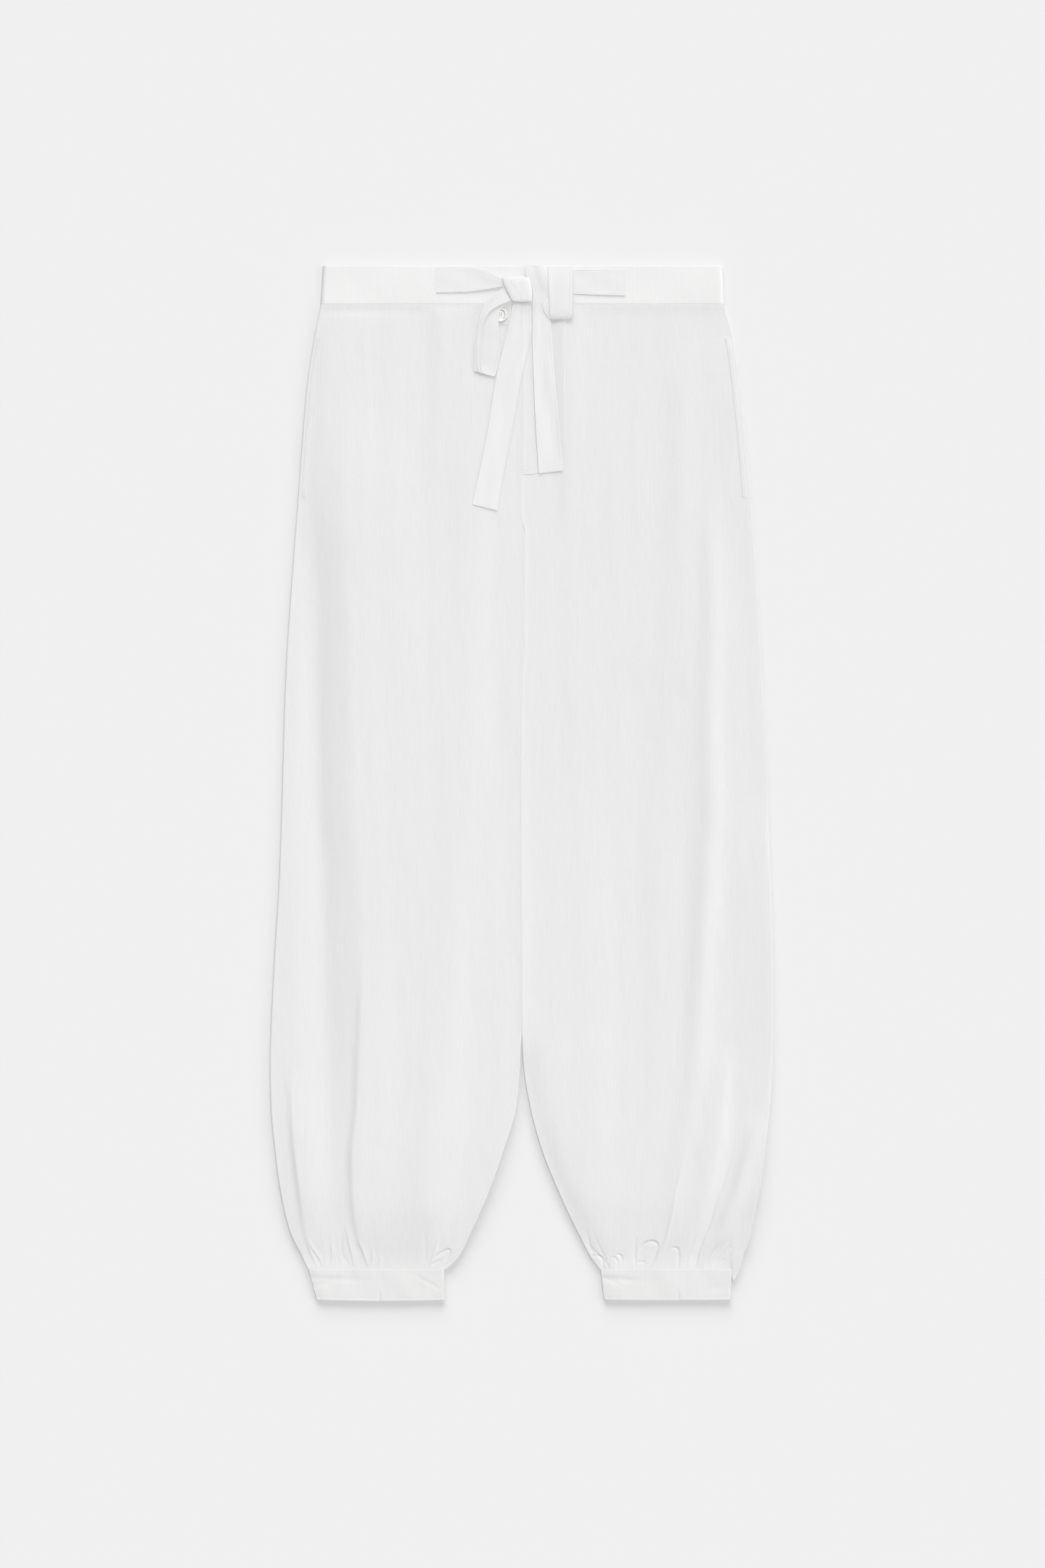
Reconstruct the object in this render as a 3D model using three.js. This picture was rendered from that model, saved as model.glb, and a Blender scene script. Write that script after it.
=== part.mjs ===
// Balloon trousers laid flat with the front up: two full legs gathered into ankle cuffs, a flat waistband
// over a fly, and a cloth tie that is sewn to the waistband and tied in a bow. Millimetres. +X is to the
// right as seen from above, +Y runs from the cuffs to the waist, and +Z is up. The origin lies on the
// surface that the garment rests on, under the middle of its outline.
import * as THREE from "three";

// Cloth and seams
const CLOTH = 1.4; // one layer of the leg cloth
const BAND = 2.1; // waistband and cuffs, folded double and interfaced
const TIE = 1.1; // the tie's pressed double layer
const GAP = 0.3; // between pieces at a seam

// Lengths along the garment
const WAIST_TOP = 513;
const WAIST_SEAM = 475;
const CROTCH = 118;
const CUFF_SEAM = -482;
const HEM = -513;

// Heights over the floor
const SIDE_SEAM_HEIGHT = 4; // where front and back panels meet at the sides
const WAISTBAND_TOP = 7.4;
const CUFF_TOP = 7.5;
const LOWEST_FRONT = 3.5; // the front panels never press lower than this on the back ones
const INNER_ROUND = 0.8; // the inner legs round over less widely than the outer sides
const SQUARENESS = 2.4; // of everything that rounds over: 2 is round and more is squarer

// How the mesh is divided
const FRONT_COLUMNS = 26; // across a panel, and twice as many in its gathers
const BACK_COLUMNS = 14;
const GATHER_ROWS = [0, 5, 11, 20, 33, 52]; // over the cuff seam
const ROWS_ABOVE = [-396, -362, -322, -279, -230, -165, -90, -10, 60, 88, 130, 200, 283, 345, 400, 442];
const ROWS = [...ROWS_ABOVE, WAIST_SEAM - GAP];

// The outline: where the legs' outer and inner edges are at each height, how far the front stands over
// the floor and how wide its sides round over.
const SECTION_COLUMNS = ["y", "outerLeft", "innerLeft", "innerRight", "outerRight", "rise", "round"];
const LEG_SECTIONS = [
  [474.7, -199.8, -0.2, 0.2, 201.6, 6.4, 8],
  [442, -206.3, -0.2, 0.2, 211, 6.5, 11],
  [400, -213, -0.2, 0.2, 217, 6.6, 13],
  [283, -222.5, -0.2, 0.2, 228.2, 6.8, 15],
  [101, -235, -0.4, 0.2, 240, 7, 17],
  [-74, -240.4, -0.5, 0.3, 247.3, 7.4, 19],
  [-220, -248.5, -0.6, 0.6, 250.5, 8, 20],
  [-279, -250.5, -1.2, 1.8, 249.9, 8.6, 20],
  [-322, -249.6, -4.8, 8.3, 247.3, 9.2, 20],
  [-362, -246, -16.3, 19.1, 243.3, 9.8, 19],
  [-407, -240, -32.2, 37, 237, 10.4, 17],
  [-446, -230.5, -49.6, 55.5, 228.2, 10.6, 14],
  [-471, -217.8, -62.5, 68.8, 222.5, 9.4, 11],
  [-481.7, -212.3, -74, 76.7, 214, 8.2, 8],
].map((values) => Object.fromEntries(SECTION_COLUMNS.map((column, k) => [column, values[k]])));

// The largest folds of the fronts, each on a curve through three x. It stands over the cloth around it, or
// under it, with two flanks of their own widths.
// Columns: top, bottom, x at the top, x in the middle, x at the bottom, height, left flank, right flank.
const FOLD_TABLE = {
  left: [
    [285, -430, -219, -208, -229, 4.6, 13, 13],
    [330, -420, -221, -181, -168, -3.4, 15, 10],
    [-90, -530, -157, -166, -146, 4.2, 6, 28],
    [-270, -520, -236, -226, -188, -3.4, 6, 7],
    [190, -500, -88, -84, -106, -2.4, 30, 20],
    [-40, -520, -50, -70, -98, 3.6, 16, 24],
    [-60, -250, 0, -12, -24, 1.4, 6, 5],
    [520, 190, -62, -60, -52, 1.8, 26, 22],
    [460, -40, -150, -142, -136, 1.3, 24, 24],
  ],
  right: [
    [250, -245, 208, 197, 178, 4.8, 6, 17],
    [240, -290, 178, 174, 163, -2.6, 14, 9],
    [-190, -530, 184, 158, 112, 3.8, 5, 15],
    [-240, -510, 216, 203, 160, 4.6, 13, 6],
    [-320, -520, 224, 204, 160, -3.2, 6, 8],
    [-310, -500, 238, 221, 192, 3.4, 7, 8],
    [340, -420, 154, 126, 120, -2.2, 26, 22],
    [240, -400, 80, 84, 86, 1.9, 34, 30],
    [460, 240, 203, 203, 207, -1.8, 10, 8],
    [520, 260, 58, 56, 54, 2, 12, 24],
    [500, 425, 184, 162, 136, -1.5, 6, 7],
    [108, -260, 8, 9, 9, 1.7, 6, 9],
  ],
};

const FOLD_FADE = 0.75; // a fold is at its full height once its path is this much of the way to its middle

// Gathers at the cuffs, from a front's left edge to its right one: at is the share of the width, height
// is over the cloth, width is half a gather's foot, reach is how far it runs up the leg and lean how far
// its top moves right.
const GATHERS = {
  left: [
    { at: 0.03, height: 1.6, width: 3, reach: 34, lean: -4 },
    { at: 0.095, height: 2.3, width: 3.2, reach: 46, lean: -5 },
    { at: 0.16, height: 2, width: 3, reach: 30, lean: 1 },
    { at: 0.225, height: 2.4, width: 3.2, reach: 22, lean: 2 },
    { at: 0.295, height: 1.8, width: 3, reach: 17, lean: -1 },
    { at: 0.375, height: 2.5, width: 3.6, reach: 44, lean: -4 },
    { at: 0.475, height: 2.2, width: 3, reach: 20, lean: 3 },
    { at: 0.54, height: 2, width: 2.8, reach: 16, lean: 0 },
    { at: 0.61, height: 1.1, width: 3.4, reach: 14, lean: 0 },
    { at: 0.69, height: 1, width: 3.6, reach: 16, lean: 1 },
    { at: 0.775, height: 1.5, width: 3, reach: 20, lean: 2 },
    { at: 0.845, height: 2.3, width: 3, reach: 34, lean: 2 },
    { at: 0.905, height: 2.5, width: 2.8, reach: 30, lean: 5 },
    { at: 0.965, height: 1.8, width: 2.6, reach: 22, lean: 7 },
  ],
  right: [
    { at: 0.035, height: 2, width: 2.8, reach: 26, lean: -7 },
    { at: 0.1, height: 2.4, width: 2.8, reach: 24, lean: -4 },
    { at: 0.165, height: 2.4, width: 3, reach: 18, lean: -1 },
    { at: 0.235, height: 1.9, width: 3, reach: 22, lean: 1 },
    { at: 0.33, height: 2.6, width: 4.6, reach: 30, lean: 2 },
    { at: 0.43, height: 2.2, width: 3, reach: 36, lean: 5 },
    { at: 0.515, height: 2.6, width: 3.6, reach: 30, lean: 0 },
    { at: 0.59, height: 1.9, width: 2.8, reach: 24, lean: 2 },
    { at: 0.655, height: 2.4, width: 3, reach: 36, lean: 5 },
    { at: 0.72, height: 2.1, width: 2.8, reach: 40, lean: 7 },
    { at: 0.785, height: 2.3, width: 2.8, reach: 34, lean: 8 },
    { at: 0.845, height: 2, width: 2.6, reach: 30, lean: 8 },
    { at: 0.905, height: 2.2, width: 2.6, reach: 26, lean: 7 },
    { at: 0.965, height: 1.9, width: 2.6, reach: 22, lean: 5 },
  ],
};
const GATHER_TOP = 120; // no gather reaches higher than this over the cuff
const LEAN_SPAN = 30; // a gather's lean is measured this far up
const SPREAD_SPAN = 40; // and its foot is twice as wide this far up
const CUFF_DIP = { depth: 0.9, reach: 22 }; // the cloth between the gathers goes down to the cuff
const BACK_GATHERS = 11; // on each back, as grooves in the cloth that lies on the floor
const BACK_GROOVE = { depth: 1.5, width: 2.6, reach: 22, unevenness: 10, top: 70 };

const CLOTH_COLOUR = 0xf1f1ef;
const BAND_COLOUR = 0xf4f4f2;
const TIE_COLOUR = 0xf3f3f1;
const BUTTON_COLOUR = 0xe9e7e0;

const cloth = new THREE.MeshStandardMaterial({ color: CLOTH_COLOUR, roughness: 0.9, metalness: 0 });
const bandCloth = new THREE.MeshStandardMaterial({ color: BAND_COLOUR, roughness: 0.85, metalness: 0 });
const tieCloth = new THREE.MeshStandardMaterial({ color: TIE_COLOUR, roughness: 0.85, metalness: 0 });
const shell = new THREE.MeshStandardMaterial({ color: BUTTON_COLOUR, roughness: 0.3, metalness: 0 });

const trousers = new THREE.Group();

function add(name, geometry, material) {
  const mesh = new THREE.Mesh(geometry, material);
  mesh.name = name;
  trousers.add(mesh);
  return mesh;
}

const { clamp, lerp, smoothstep } = THREE.MathUtils;

// Smooth curve through the named column of a table of rows, without overshoot.
function along(table, key, column, at) {
  const rows = [...table].sort((a, b) => a[key] - b[key]);
  const last = rows.length - 2;
  let i = rows.findIndex((row) => row[key] > at) - 1;
  i = clamp(i < 0 ? (at < rows[0][key] ? 0 : last) : i, 0, last);
  const slope = (k) => (rows[k + 1][column] - rows[k][column]) / (rows[k + 1][key] - rows[k][key]);
  const tangent = (k) => {
    if (k === 0) return slope(0);
    if (k === last + 1) return slope(last);
    const [before, after] = [slope(k - 1), slope(k)];
    return before * after <= 0 ? 0 : (2 * before * after) / (before + after);
  };
  const span = rows[i + 1][key] - rows[i][key];
  const t = clamp((at - rows[i][key]) / span, 0, 1);
  const [square, cube] = [t ** 2, t ** 3];
  const hermite = [2 * cube - 3 * square + 1, cube - 2 * square + t, -2 * cube + 3 * square, cube - square];
  const values = [rows[i][column], span * tangent(i), rows[i + 1][column], span * tangent(i + 1)];
  return hermite.reduce((sum, weight, k) => sum + weight * values[k], 0);
}

const leg = (column, y) => along(LEG_SECTIONS, "y", column, y);
const outerEdge = (side, y) => leg(side === "left" ? "outerLeft" : "outerRight", y);
const innerEdge = (side, y) => leg(side === "left" ? "innerLeft" : "innerRight", y);

// A side that rounds over: 0 at the edge and 1 from width on.
function rounded(distance, width) {
  const t = clamp(distance / width, 0, 1);
  return (1 - (1 - t) ** SQUARENESS) ** (1 / SQUARENESS);
}

// 1 where the legs are separate, below the crotch, and 0 where the fronts are sewn to each other.
const legsApart = (y) => 1 - smoothstep(y, CROTCH - 30, CROTCH + 12);

// Where a point lies across a panel, and how round the panel is there.
function across(side, x, y) {
  const width = leg("round", y);
  const outer = rounded(Math.abs(x - outerEdge(side, y)), width);
  const inner = lerp(1, rounded(Math.abs(x - innerEdge(side, y)), width * INNER_ROUND), legsApart(y));
  return outer * inner;
}

function foldHeight(side, x, y) {
  let height = 0;
  for (const [top, bottom, xTop, xMid, xBottom, size, left, right] of FOLD_TABLE[side]) {
    if (y > top || y < bottom) continue;
    const t = (y - bottom) / (top - bottom);
    const middle = 4 * t * (1 - t);
    const path = xBottom * (1 - t) * (1 - 2 * t) + xMid * middle + xTop * t * (2 * t - 1);
    const flank = x < path ? left : right;
    height += size * Math.exp(-(((x - path) / flank) ** 2)) * smoothstep(middle, 0, FOLD_FADE);
  }
  return height;
}

function gatherHeight(side, x, y) {
  const up = y - CUFF_SEAM;
  if (up > GATHER_TOP) return 0;
  const [left, right] = [outerEdge(side, y), innerEdge(side, y)].sort((a, b) => a - b);
  let height = 0;
  for (const gather of GATHERS[side]) {
    const middle = lerp(left, right, gather.at) + gather.lean * (up / LEAN_SPAN);
    const spread = gather.width * (1 + up / SPREAD_SPAN);
    const fade = Math.exp(-((up / gather.reach) ** 1.6));
    height += gather.height * Math.exp(-(((x - middle) / spread) ** 2)) * fade;
  }
  return height - CUFF_DIP.depth * Math.exp(-((up / CUFF_DIP.reach) ** 2));
}

// The outer face of the fronts, over the floor.
function frontHeight(side, x, y) {
  const shape = across(side, x, y);
  const relief = foldHeight(side, x, y) + gatherHeight(side, x, y);
  const height = Math.max(LOWEST_FRONT, leg("rise", y) + relief * smoothstep(shape, 0.35, 1));
  return SIDE_SEAM_HEIGHT + (height - SIDE_SEAM_HEIGHT) * shape;
}

// The face of the backs that lies on the floor: flat, with sides that round up and grooves between its
// gathers.
function backHeight(side, x, y) {
  const shape = across(side, x, y);
  const sides = (SIDE_SEAM_HEIGHT - GAP) * (1 - shape);
  const up = y - CUFF_SEAM;
  if (up > BACK_GROOVE.top) return sides;
  const [left, right] = [outerEdge(side, y), innerEdge(side, y)].sort((a, b) => a - b);
  const share = (x - left) / (right - left);
  let groove = 0;
  for (let i = 0; i < BACK_GATHERS; i++) {
    const at = (i + 0.5 + 0.22 * Math.sin(5 * i + (side === "left" ? 0 : 2))) / BACK_GATHERS;
    const reach = BACK_GROOVE.reach + BACK_GROOVE.unevenness * Math.sin(3 * i + 1);
    const away = ((share - at) * (right - left)) / BACK_GROOVE.width;
    groove += BACK_GROOVE.depth * Math.exp(-(away ** 2)) * Math.exp(-((up / reach) ** 2));
  }
  return sides + groove * smoothstep(shape, 0.8, 1);
}

// Turns two matching layers of points into one closed wall. Rows run up the garment and points run across
// it; a row has as many points as the next, or twice as many intervals.
function wall(topRows, underRows) {
  const points = [];
  const faces = [];
  const number = (rows) => rows.map((row) => row.map((p) => points.push(...p) / 3 - 1));
  const top = number(topRows);
  const under = number(underRows);
  const face = (turned, a, b, c) => faces.push(...(turned ? [a, c, b] : [a, b, c]));
  const skin = (rows, turned) => {
    for (let r = 0; r + 1 < rows.length; r++) {
      const [low, high] = [rows[r], rows[r + 1]];
      const step = (low.length - 1) / (high.length - 1);
      for (let c = 0; c + 1 < high.length; c++) {
        const start = c * step;
        face(turned, low[start], low[start + 1], high[c]);
        face(turned, low[start + 1], high[c + 1], high[c]);
        if (step === 2) face(turned, low[start + 1], low[start + 2], high[c + 1]);
      }
    }
  };
  const rim = (upper, lower) => {
    for (let k = 0; k + 1 < upper.length; k++) {
      face(false, lower[k], lower[k + 1], upper[k + 1]);
      face(false, lower[k], upper[k + 1], upper[k]);
    }
  };
  skin(top, false);
  skin(under, true);
  rim(top[0], under[0]);
  rim([...top.at(-1)].reverse(), [...under.at(-1)].reverse());
  rim(top.map((row) => row[0]).reverse(), under.map((row) => row[0]).reverse());
  rim(top.map((row) => row.at(-1)), under.map((row) => row.at(-1)));
  const geometry = new THREE.BufferGeometry();
  geometry.setAttribute("position", new THREE.Float32BufferAttribute(points, 3));
  geometry.setIndex(faces);
  geometry.computeVertexNormals();
  return geometry;
}

// Shares of the way across, closer together near both ends.
const crowded = (share) => lerp(share, 0.5 - 0.5 * Math.cos(Math.PI * share), 0.45);
const shares = (count) => Array.from({ length: count + 1 }, (_, k) => crowded(k / count));

// A panel's own points: rows up the leg, each with its edges and the height at each column.
function panelGrid(side, columns, heightAt) {
  const bottom = CUFF_SEAM + GAP;
  const gathered = GATHER_ROWS.map((up) => ({ y: bottom + up, count: 2 * columns }));
  const above = ROWS.map((y) => ({ y, count: columns }));
  return [...gathered, ...above].map(({ y, count }) => {
    const [left, right] = [outerEdge(side, y), innerEdge(side, y)].sort((a, b) => a - b);
    const xs = shares(count).map((share) => lerp(left, right, share));
    return { y, left, right, xs, heights: xs.map((x) => heightAt(side, x, y)) };
  });
}

// How far a panel's inner face moves in from its edges, to give the wall its thickness where it rounds
// over.
function inwards(side, x, y) {
  const round = leg("round", y);
  const fromOuter = Math.max(0, 1 - Math.abs(x - outerEdge(side, y)) / round);
  const fromInner = Math.max(0, 1 - Math.abs(x - innerEdge(side, y)) / (INNER_ROUND * round));
  return (side === "left" ? 1 : -1) * CLOTH * (fromOuter - fromInner * legsApart(y));
}

// A panel's wall, with its cloth over or under the face that the grid describes.
function panel(side, grid, thickness) {
  const face = grid.map((row) => row.xs.map((x, k) => [x, row.y, row.heights[k]]));
  const under = (x, y, height) => [x + inwards(side, x, y), y, height + thickness * across(side, x, y)];
  const inner = grid.map((row) => row.xs.map((x, k) => under(x, row.y, row.heights[k])));
  return thickness < 0 ? wall(face, inner) : wall(inner, face);
}

// The height of a faceted face between its grid's points.
function onGrid(grid, x, y) {
  const above = grid.findIndex((row) => row.y > y);
  const r = above < 0 ? grid.length - 2 : Math.max(0, above - 1);
  const [low, high] = [grid[r], grid[r + 1]];
  const t = clamp((y - low.y) / (high.y - low.y), 0, 1);
  const [left, right] = [lerp(low.left, high.left, t), lerp(low.right, high.right, t)];
  const share = (x - left) / (right - left);
  const inRow = (row) => {
    const at = lerp(row.left, row.right, clamp(share, 0, 1));
    const k = clamp(row.xs.findIndex((edge) => edge >= at) - 1, 0, row.xs.length - 2);
    return lerp(row.heights[k], row.heights[k + 1], (at - row.xs[k]) / (row.xs[k + 1] - row.xs[k]));
  };
  return lerp(inRow(low), inRow(high), t);
}

const fronts = {
  left: panelGrid("left", FRONT_COLUMNS, frontHeight),
  right: panelGrid("right", FRONT_COLUMNS, frontHeight),
};
const backs = {
  left: panelGrid("left", BACK_COLUMNS, backHeight),
  right: panelGrid("right", BACK_COLUMNS, backHeight),
};
for (const side of ["left", "right"]) {
  add("front_panel_" + side, panel(side, fronts[side], -CLOTH), cloth);
  add("back_panel_" + side, panel(side, backs[side], CLOTH), cloth);
}

// Waistband: a left and a right front that meet at the fly, and one back.
const WAIST_LEFT = { seam: -199.6, top: -197.4 };
const WAIST_RIGHT = { seam: 201.4, top: 200.2 };
const FLY_END = 3.5; // where the fronts of the waistband meet
const WAIST_ROUND = 5;
const WAIST_ROWS = 3;
const WAIST_COLUMNS = { front: 12, back: 18 };
const WAIST_MIDDLE = SIDE_SEAM_HEIGHT - 0.1;
const BAND_WAVE = { height: 0.35, length: 23 }; // how far the pressed band wavers

function waistEdge(edge, y) {
  return lerp(edge.seam, edge.top, (y - WAIST_SEAM) / (WAIST_TOP - WAIST_SEAM));
}

// The height of the waistband's front face, a little lower at its seam and its pressed top edge.
function waistbandHeight(x, y) {
  const side = Math.min(x - waistEdge(WAIST_LEFT, y), waistEdge(WAIST_RIGHT, y) - x);
  const edge = Math.min(rounded(y - WAIST_SEAM, 2.5), rounded(WAIST_TOP - y, 3.5));
  const up = (y - WAIST_SEAM) / (WAIST_TOP - WAIST_SEAM);
  const wave = BAND_WAVE.height * Math.sin(x / BAND_WAVE.length) * Math.sin(Math.PI * up);
  const full = WAISTBAND_TOP - 0.7 * (1 - edge) + wave;
  return WAIST_MIDDLE + GAP / 2 + (full - WAIST_MIDDLE - GAP / 2) * rounded(side, WAIST_ROUND);
}

function waistband(leftEdge, rightEdge, columns, front) {
  const outer = [];
  const inner = [];
  for (let r = 0; r <= WAIST_ROWS; r++) {
    const y = lerp(WAIST_SEAM, WAIST_TOP, shares(WAIST_ROWS)[r]);
    const [left, right] = [leftEdge(y), rightEdge(y)];
    const xs = shares(columns).map((share) => lerp(left, right, share));
    const sideOf = (x) => Math.min(x - waistEdge(WAIST_LEFT, y), waistEdge(WAIST_RIGHT, y) - x);
    const shift = (x) => Math.max(0, 1 - sideOf(x) / WAIST_ROUND) * BAND * (x < 0 ? 1 : -1);
    if (front) {
      const under = (x) => waistbandHeight(x, y) - BAND * rounded(sideOf(x), WAIST_ROUND);
      outer.push(xs.map((x) => [x, y, waistbandHeight(x, y)]));
      inner.push(xs.map((x) => [x + shift(x), y, under(x)]));
    } else {
      const foot = (x) => (WAIST_MIDDLE - GAP / 2) * (1 - rounded(sideOf(x), WAIST_ROUND));
      outer.push(xs.map((x) => [x + shift(x), y, foot(x) + BAND * rounded(sideOf(x), WAIST_ROUND)]));
      inner.push(xs.map((x) => [x, y, foot(x)]));
    }
  }
  return wall(outer, inner);
}

const atLeft = (y) => waistEdge(WAIST_LEFT, y);
const atRight = (y) => waistEdge(WAIST_RIGHT, y);
const atFlyLeft = () => FLY_END - GAP / 2;
const atFlyRight = () => FLY_END + GAP / 2;
add("waistband_front_left", waistband(atLeft, atFlyLeft, WAIST_COLUMNS.front, true), bandCloth);
add("waistband_front_right", waistband(atFlyRight, atRight, WAIST_COLUMNS.front, true), bandCloth);
add("waistband_back", waistband(atLeft, atRight, WAIST_COLUMNS.back, false), bandCloth);

// The top of whatever cloth lies at a place: waistband or front panel.
function clothTop(x, y) {
  if (y > WAIST_SEAM - GAP) return waistbandHeight(x, clamp(y, WAIST_SEAM, WAIST_TOP));
  return onGrid(x < 0 ? fronts.left : fronts.right, x, y);
}

const SLOPE_STEP = 0.5;
const STEEPEST = { x: 1, y: 0.5 }; // slopes that a layer on the cloth follows

// A layer that lies on the cloth, between two edges given for each row: the cloth's own points, moved
// out.
function overlay(rows, lift, thickness, columns) {
  const moved = (x, y, distance) => {
    const step = SLOPE_STEP;
    const slopeX = (clothTop(x + step, y) - clothTop(x - step, y)) / (2 * step);
    const slopeY = (clothTop(x, y + step) - clothTop(x, y - step)) / (2 * step);
    const steepest = [clamp(slopeX, -STEEPEST.x, STEEPEST.x), clamp(slopeY, -STEEPEST.y, STEEPEST.y)];
    const normal = new THREE.Vector3(-steepest[0], -steepest[1], 1).normalize();
    return [x + normal.x * distance, y, clothTop(x, y) + normal.z * distance];
  };
  const layer = (distance) =>
    rows.map(({ y, left, right }) =>
      shares(columns).map((share) => moved(lerp(left, right, share), y, distance)),
    );
  return wall(layer(lift + thickness), layer(lift));
}

// Fly: the right front's placket, whose stitching curves in to the centre seam at its foot.
const FLY = {
  top: WAIST_SEAM - 1.2,
  bottom: 306,
  left: 0.9,
  right: 42,
  curve: 34,
  foot: 5,
  thickness: 0.8,
};
const FLY_ROWS = 12;
const FLY_COLUMNS = 5;
const FLY_TURN = 0.985; // how far round its curve the fly's edge goes before its straight foot

function flyPlacket() {
  const rows = Array.from({ length: FLY_ROWS + 1 }, (_, k) => {
    const y = lerp(FLY.bottom, FLY.top, k / FLY_ROWS);
    const down = clamp((FLY.bottom + FLY.curve - y) / FLY.curve, 0, FLY_TURN);
    return { y, left: FLY.left, right: lerp(FLY.left + FLY.foot, FLY.right, Math.sqrt(1 - down ** 2)) };
  });
  return overlay(rows, GAP, FLY.thickness, FLY_COLUMNS);
}
add("fly_placket", flyPlacket(), cloth);

// Pocket openings in the side seams: the turned and stitched edge of each.
const POCKET = { top: 441, bottom: 283, width: 4.6, inset: 4.4, thickness: 0.8, clearance: 0.15 };
const POCKET_ROWS = 8;
const POCKET_COLUMNS = 2;

function sideSeam(side, y) {
  const grid = fronts[side];
  const r = grid.findIndex((row) => row.y > y) - 1;
  const edge = side === "left" ? "left" : "right";
  return lerp(grid[r][edge], grid[r + 1][edge], (y - grid[r].y) / (grid[r + 1].y - grid[r].y));
}

function pocketEdge(side) {
  const rows = Array.from({ length: POCKET_ROWS + 1 }, (_, k) => {
    const y = lerp(POCKET.bottom, POCKET.top, k / POCKET_ROWS);
    const edge = sideSeam(side, y);
    return side === "left"
      ? { y, left: edge + POCKET.inset, right: edge + POCKET.inset + POCKET.width }
      : { y, left: edge - POCKET.inset - POCKET.width, right: edge - POCKET.inset };
  });
  return overlay(rows, GAP + POCKET.clearance, POCKET.thickness, POCKET_COLUMNS);
}
add("pocket_edge_left", pocketEdge("left"), cloth);
add("pocket_edge_right", pocketEdge("right"), cloth);

// Cuffs: one band round each ankle, flattened, with its section along the hem.
const CUFFS = {
  left: { topLeft: -212, topRight: -76.6, hemLeft: -203.6, hemRight: -76.8 },
  right: { topLeft: 77.8, topRight: 209, hemLeft: 81.6, hemRight: 207.2 },
};
const CUFF_STRAIGHT = 12;
const CUFF_TURN = 6;
const CUFF_ROWS = 2;
const CUFF_WAVE = { height: 0.3, length: 11 };

// One loop of a cuff's section, from the lower left round to the right and back over the top.
function cuffLoop(left, right, y, inset) {
  const radius = CUFF_TOP / 2;
  const loop = [];
  const across = Math.sin((Math.PI * (y - HEM)) / (CUFF_SEAM - HEM));
  const wave = (x) => CUFF_WAVE.height * Math.sin(x / CUFF_WAVE.length) * across;
  const straight = (from, to, z, lifted) => {
    for (let k = 0; k <= CUFF_STRAIGHT; k++) {
      const x = lerp(from, to, k / CUFF_STRAIGHT);
      loop.push([x, y, z + (lifted ? wave(x) * Math.sin((Math.PI * k) / CUFF_STRAIGHT) : 0)]);
    }
  };
  const turn = (centre, start) => {
    for (let k = 1; k < CUFF_TURN; k++) {
      const angle = start + (Math.PI * k) / CUFF_TURN;
      const reach = radius - inset;
      loop.push([centre + reach * Math.cos(angle), y, radius + reach * Math.sin(angle)]);
    }
  };
  straight(left + radius, right - radius, inset, false);
  turn(right - radius, -Math.PI / 2);
  straight(right - radius, left + radius, CUFF_TOP - inset, true);
  turn(left + radius, Math.PI / 2);
  return loop;
}

// A tube's wall from its outer and inner loops, row by row.
function ring(outerRows, innerRows) {
  const points = [];
  const faces = [];
  const number = (rows) => rows.map((row) => row.map((p) => points.push(...p) / 3 - 1));
  const outer = number(outerRows);
  const inner = number(innerRows);
  const band = (low, high) => {
    low.forEach((a, k) => {
      const next = (k + 1) % low.length;
      faces.push(a, high[k], low[next], low[next], high[k], high[next]);
    });
  };
  for (let r = 0; r + 1 < outer.length; r++) {
    band(outer[r], outer[r + 1]);
    band(inner[r + 1], inner[r]);
  }
  band(inner[0], outer[0]);
  band(outer.at(-1), inner.at(-1));
  const geometry = new THREE.BufferGeometry();
  geometry.setAttribute("position", new THREE.Float32BufferAttribute(points, 3));
  geometry.setIndex(faces);
  geometry.computeVertexNormals();
  return geometry;
}

for (const [side, cuff] of Object.entries(CUFFS)) {
  const rows = Array.from({ length: CUFF_ROWS + 1 }, (_, k) => {
    const t = k / CUFF_ROWS;
    const [left, right] = [lerp(cuff.hemLeft, cuff.topLeft, t), lerp(cuff.hemRight, cuff.topRight, t)];
    return { y: lerp(HEM, CUFF_SEAM, t), left, right };
  });
  const loops = (inset) => rows.map(({ y, left, right }) => cuffLoop(left, right, y, inset));
  add("cuff_" + side, ring(loops(0), loops(BAND)), bandCloth);
}

// A ribbon of the tie, through stations along it: x, y and z of its middle, its width, how far its width
// turns from +X (turn, in degrees, seen from above) and how far it tips up (tip).
const RIBBON_COLUMNS = 3;
const STRIP_COLUMNS = 4;

function ribbon(stations, steps, thickness = TIE) {
  const rows = { top: [], under: [] };
  const middles = stations.map((s) => new THREE.Vector3(s.x, s.y, s.z));
  const curve = new THREE.CatmullRomCurve3(middles, false, "centripetal");
  const numbered = stations.map((s, k) => ({ ...s, k }));
  for (let n = 0; n <= steps; n++) {
    const k = (n / steps) * (stations.length - 1);
    const value = (column) => along(numbered, "k", column, k);
    const middle = curve.getPoint(n / steps);
    const direction = curve.getTangent(n / steps);
    const [turn, tip] = [value("turn"), value("tip")].map((angle) => (angle * Math.PI) / 180);
    const flat = Math.cos(tip);
    const side = new THREE.Vector3(Math.cos(turn) * flat, Math.sin(turn) * flat, Math.sin(tip));
    const out = new THREE.Vector3().crossVectors(side, direction).normalize();
    for (const [name, offset] of [["top", thickness / 2], ["under", -thickness / 2]]) {
      const centre = middle.clone().addScaledVector(out, offset);
      const across = (share) => centre.clone().addScaledVector(side, (share - 0.5) * value("width"));
      rows[name].push(shares(RIBBON_COLUMNS).map((share) => across(share).toArray()));
    }
  }
  return wall(rows.top, rows.under);
}

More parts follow.
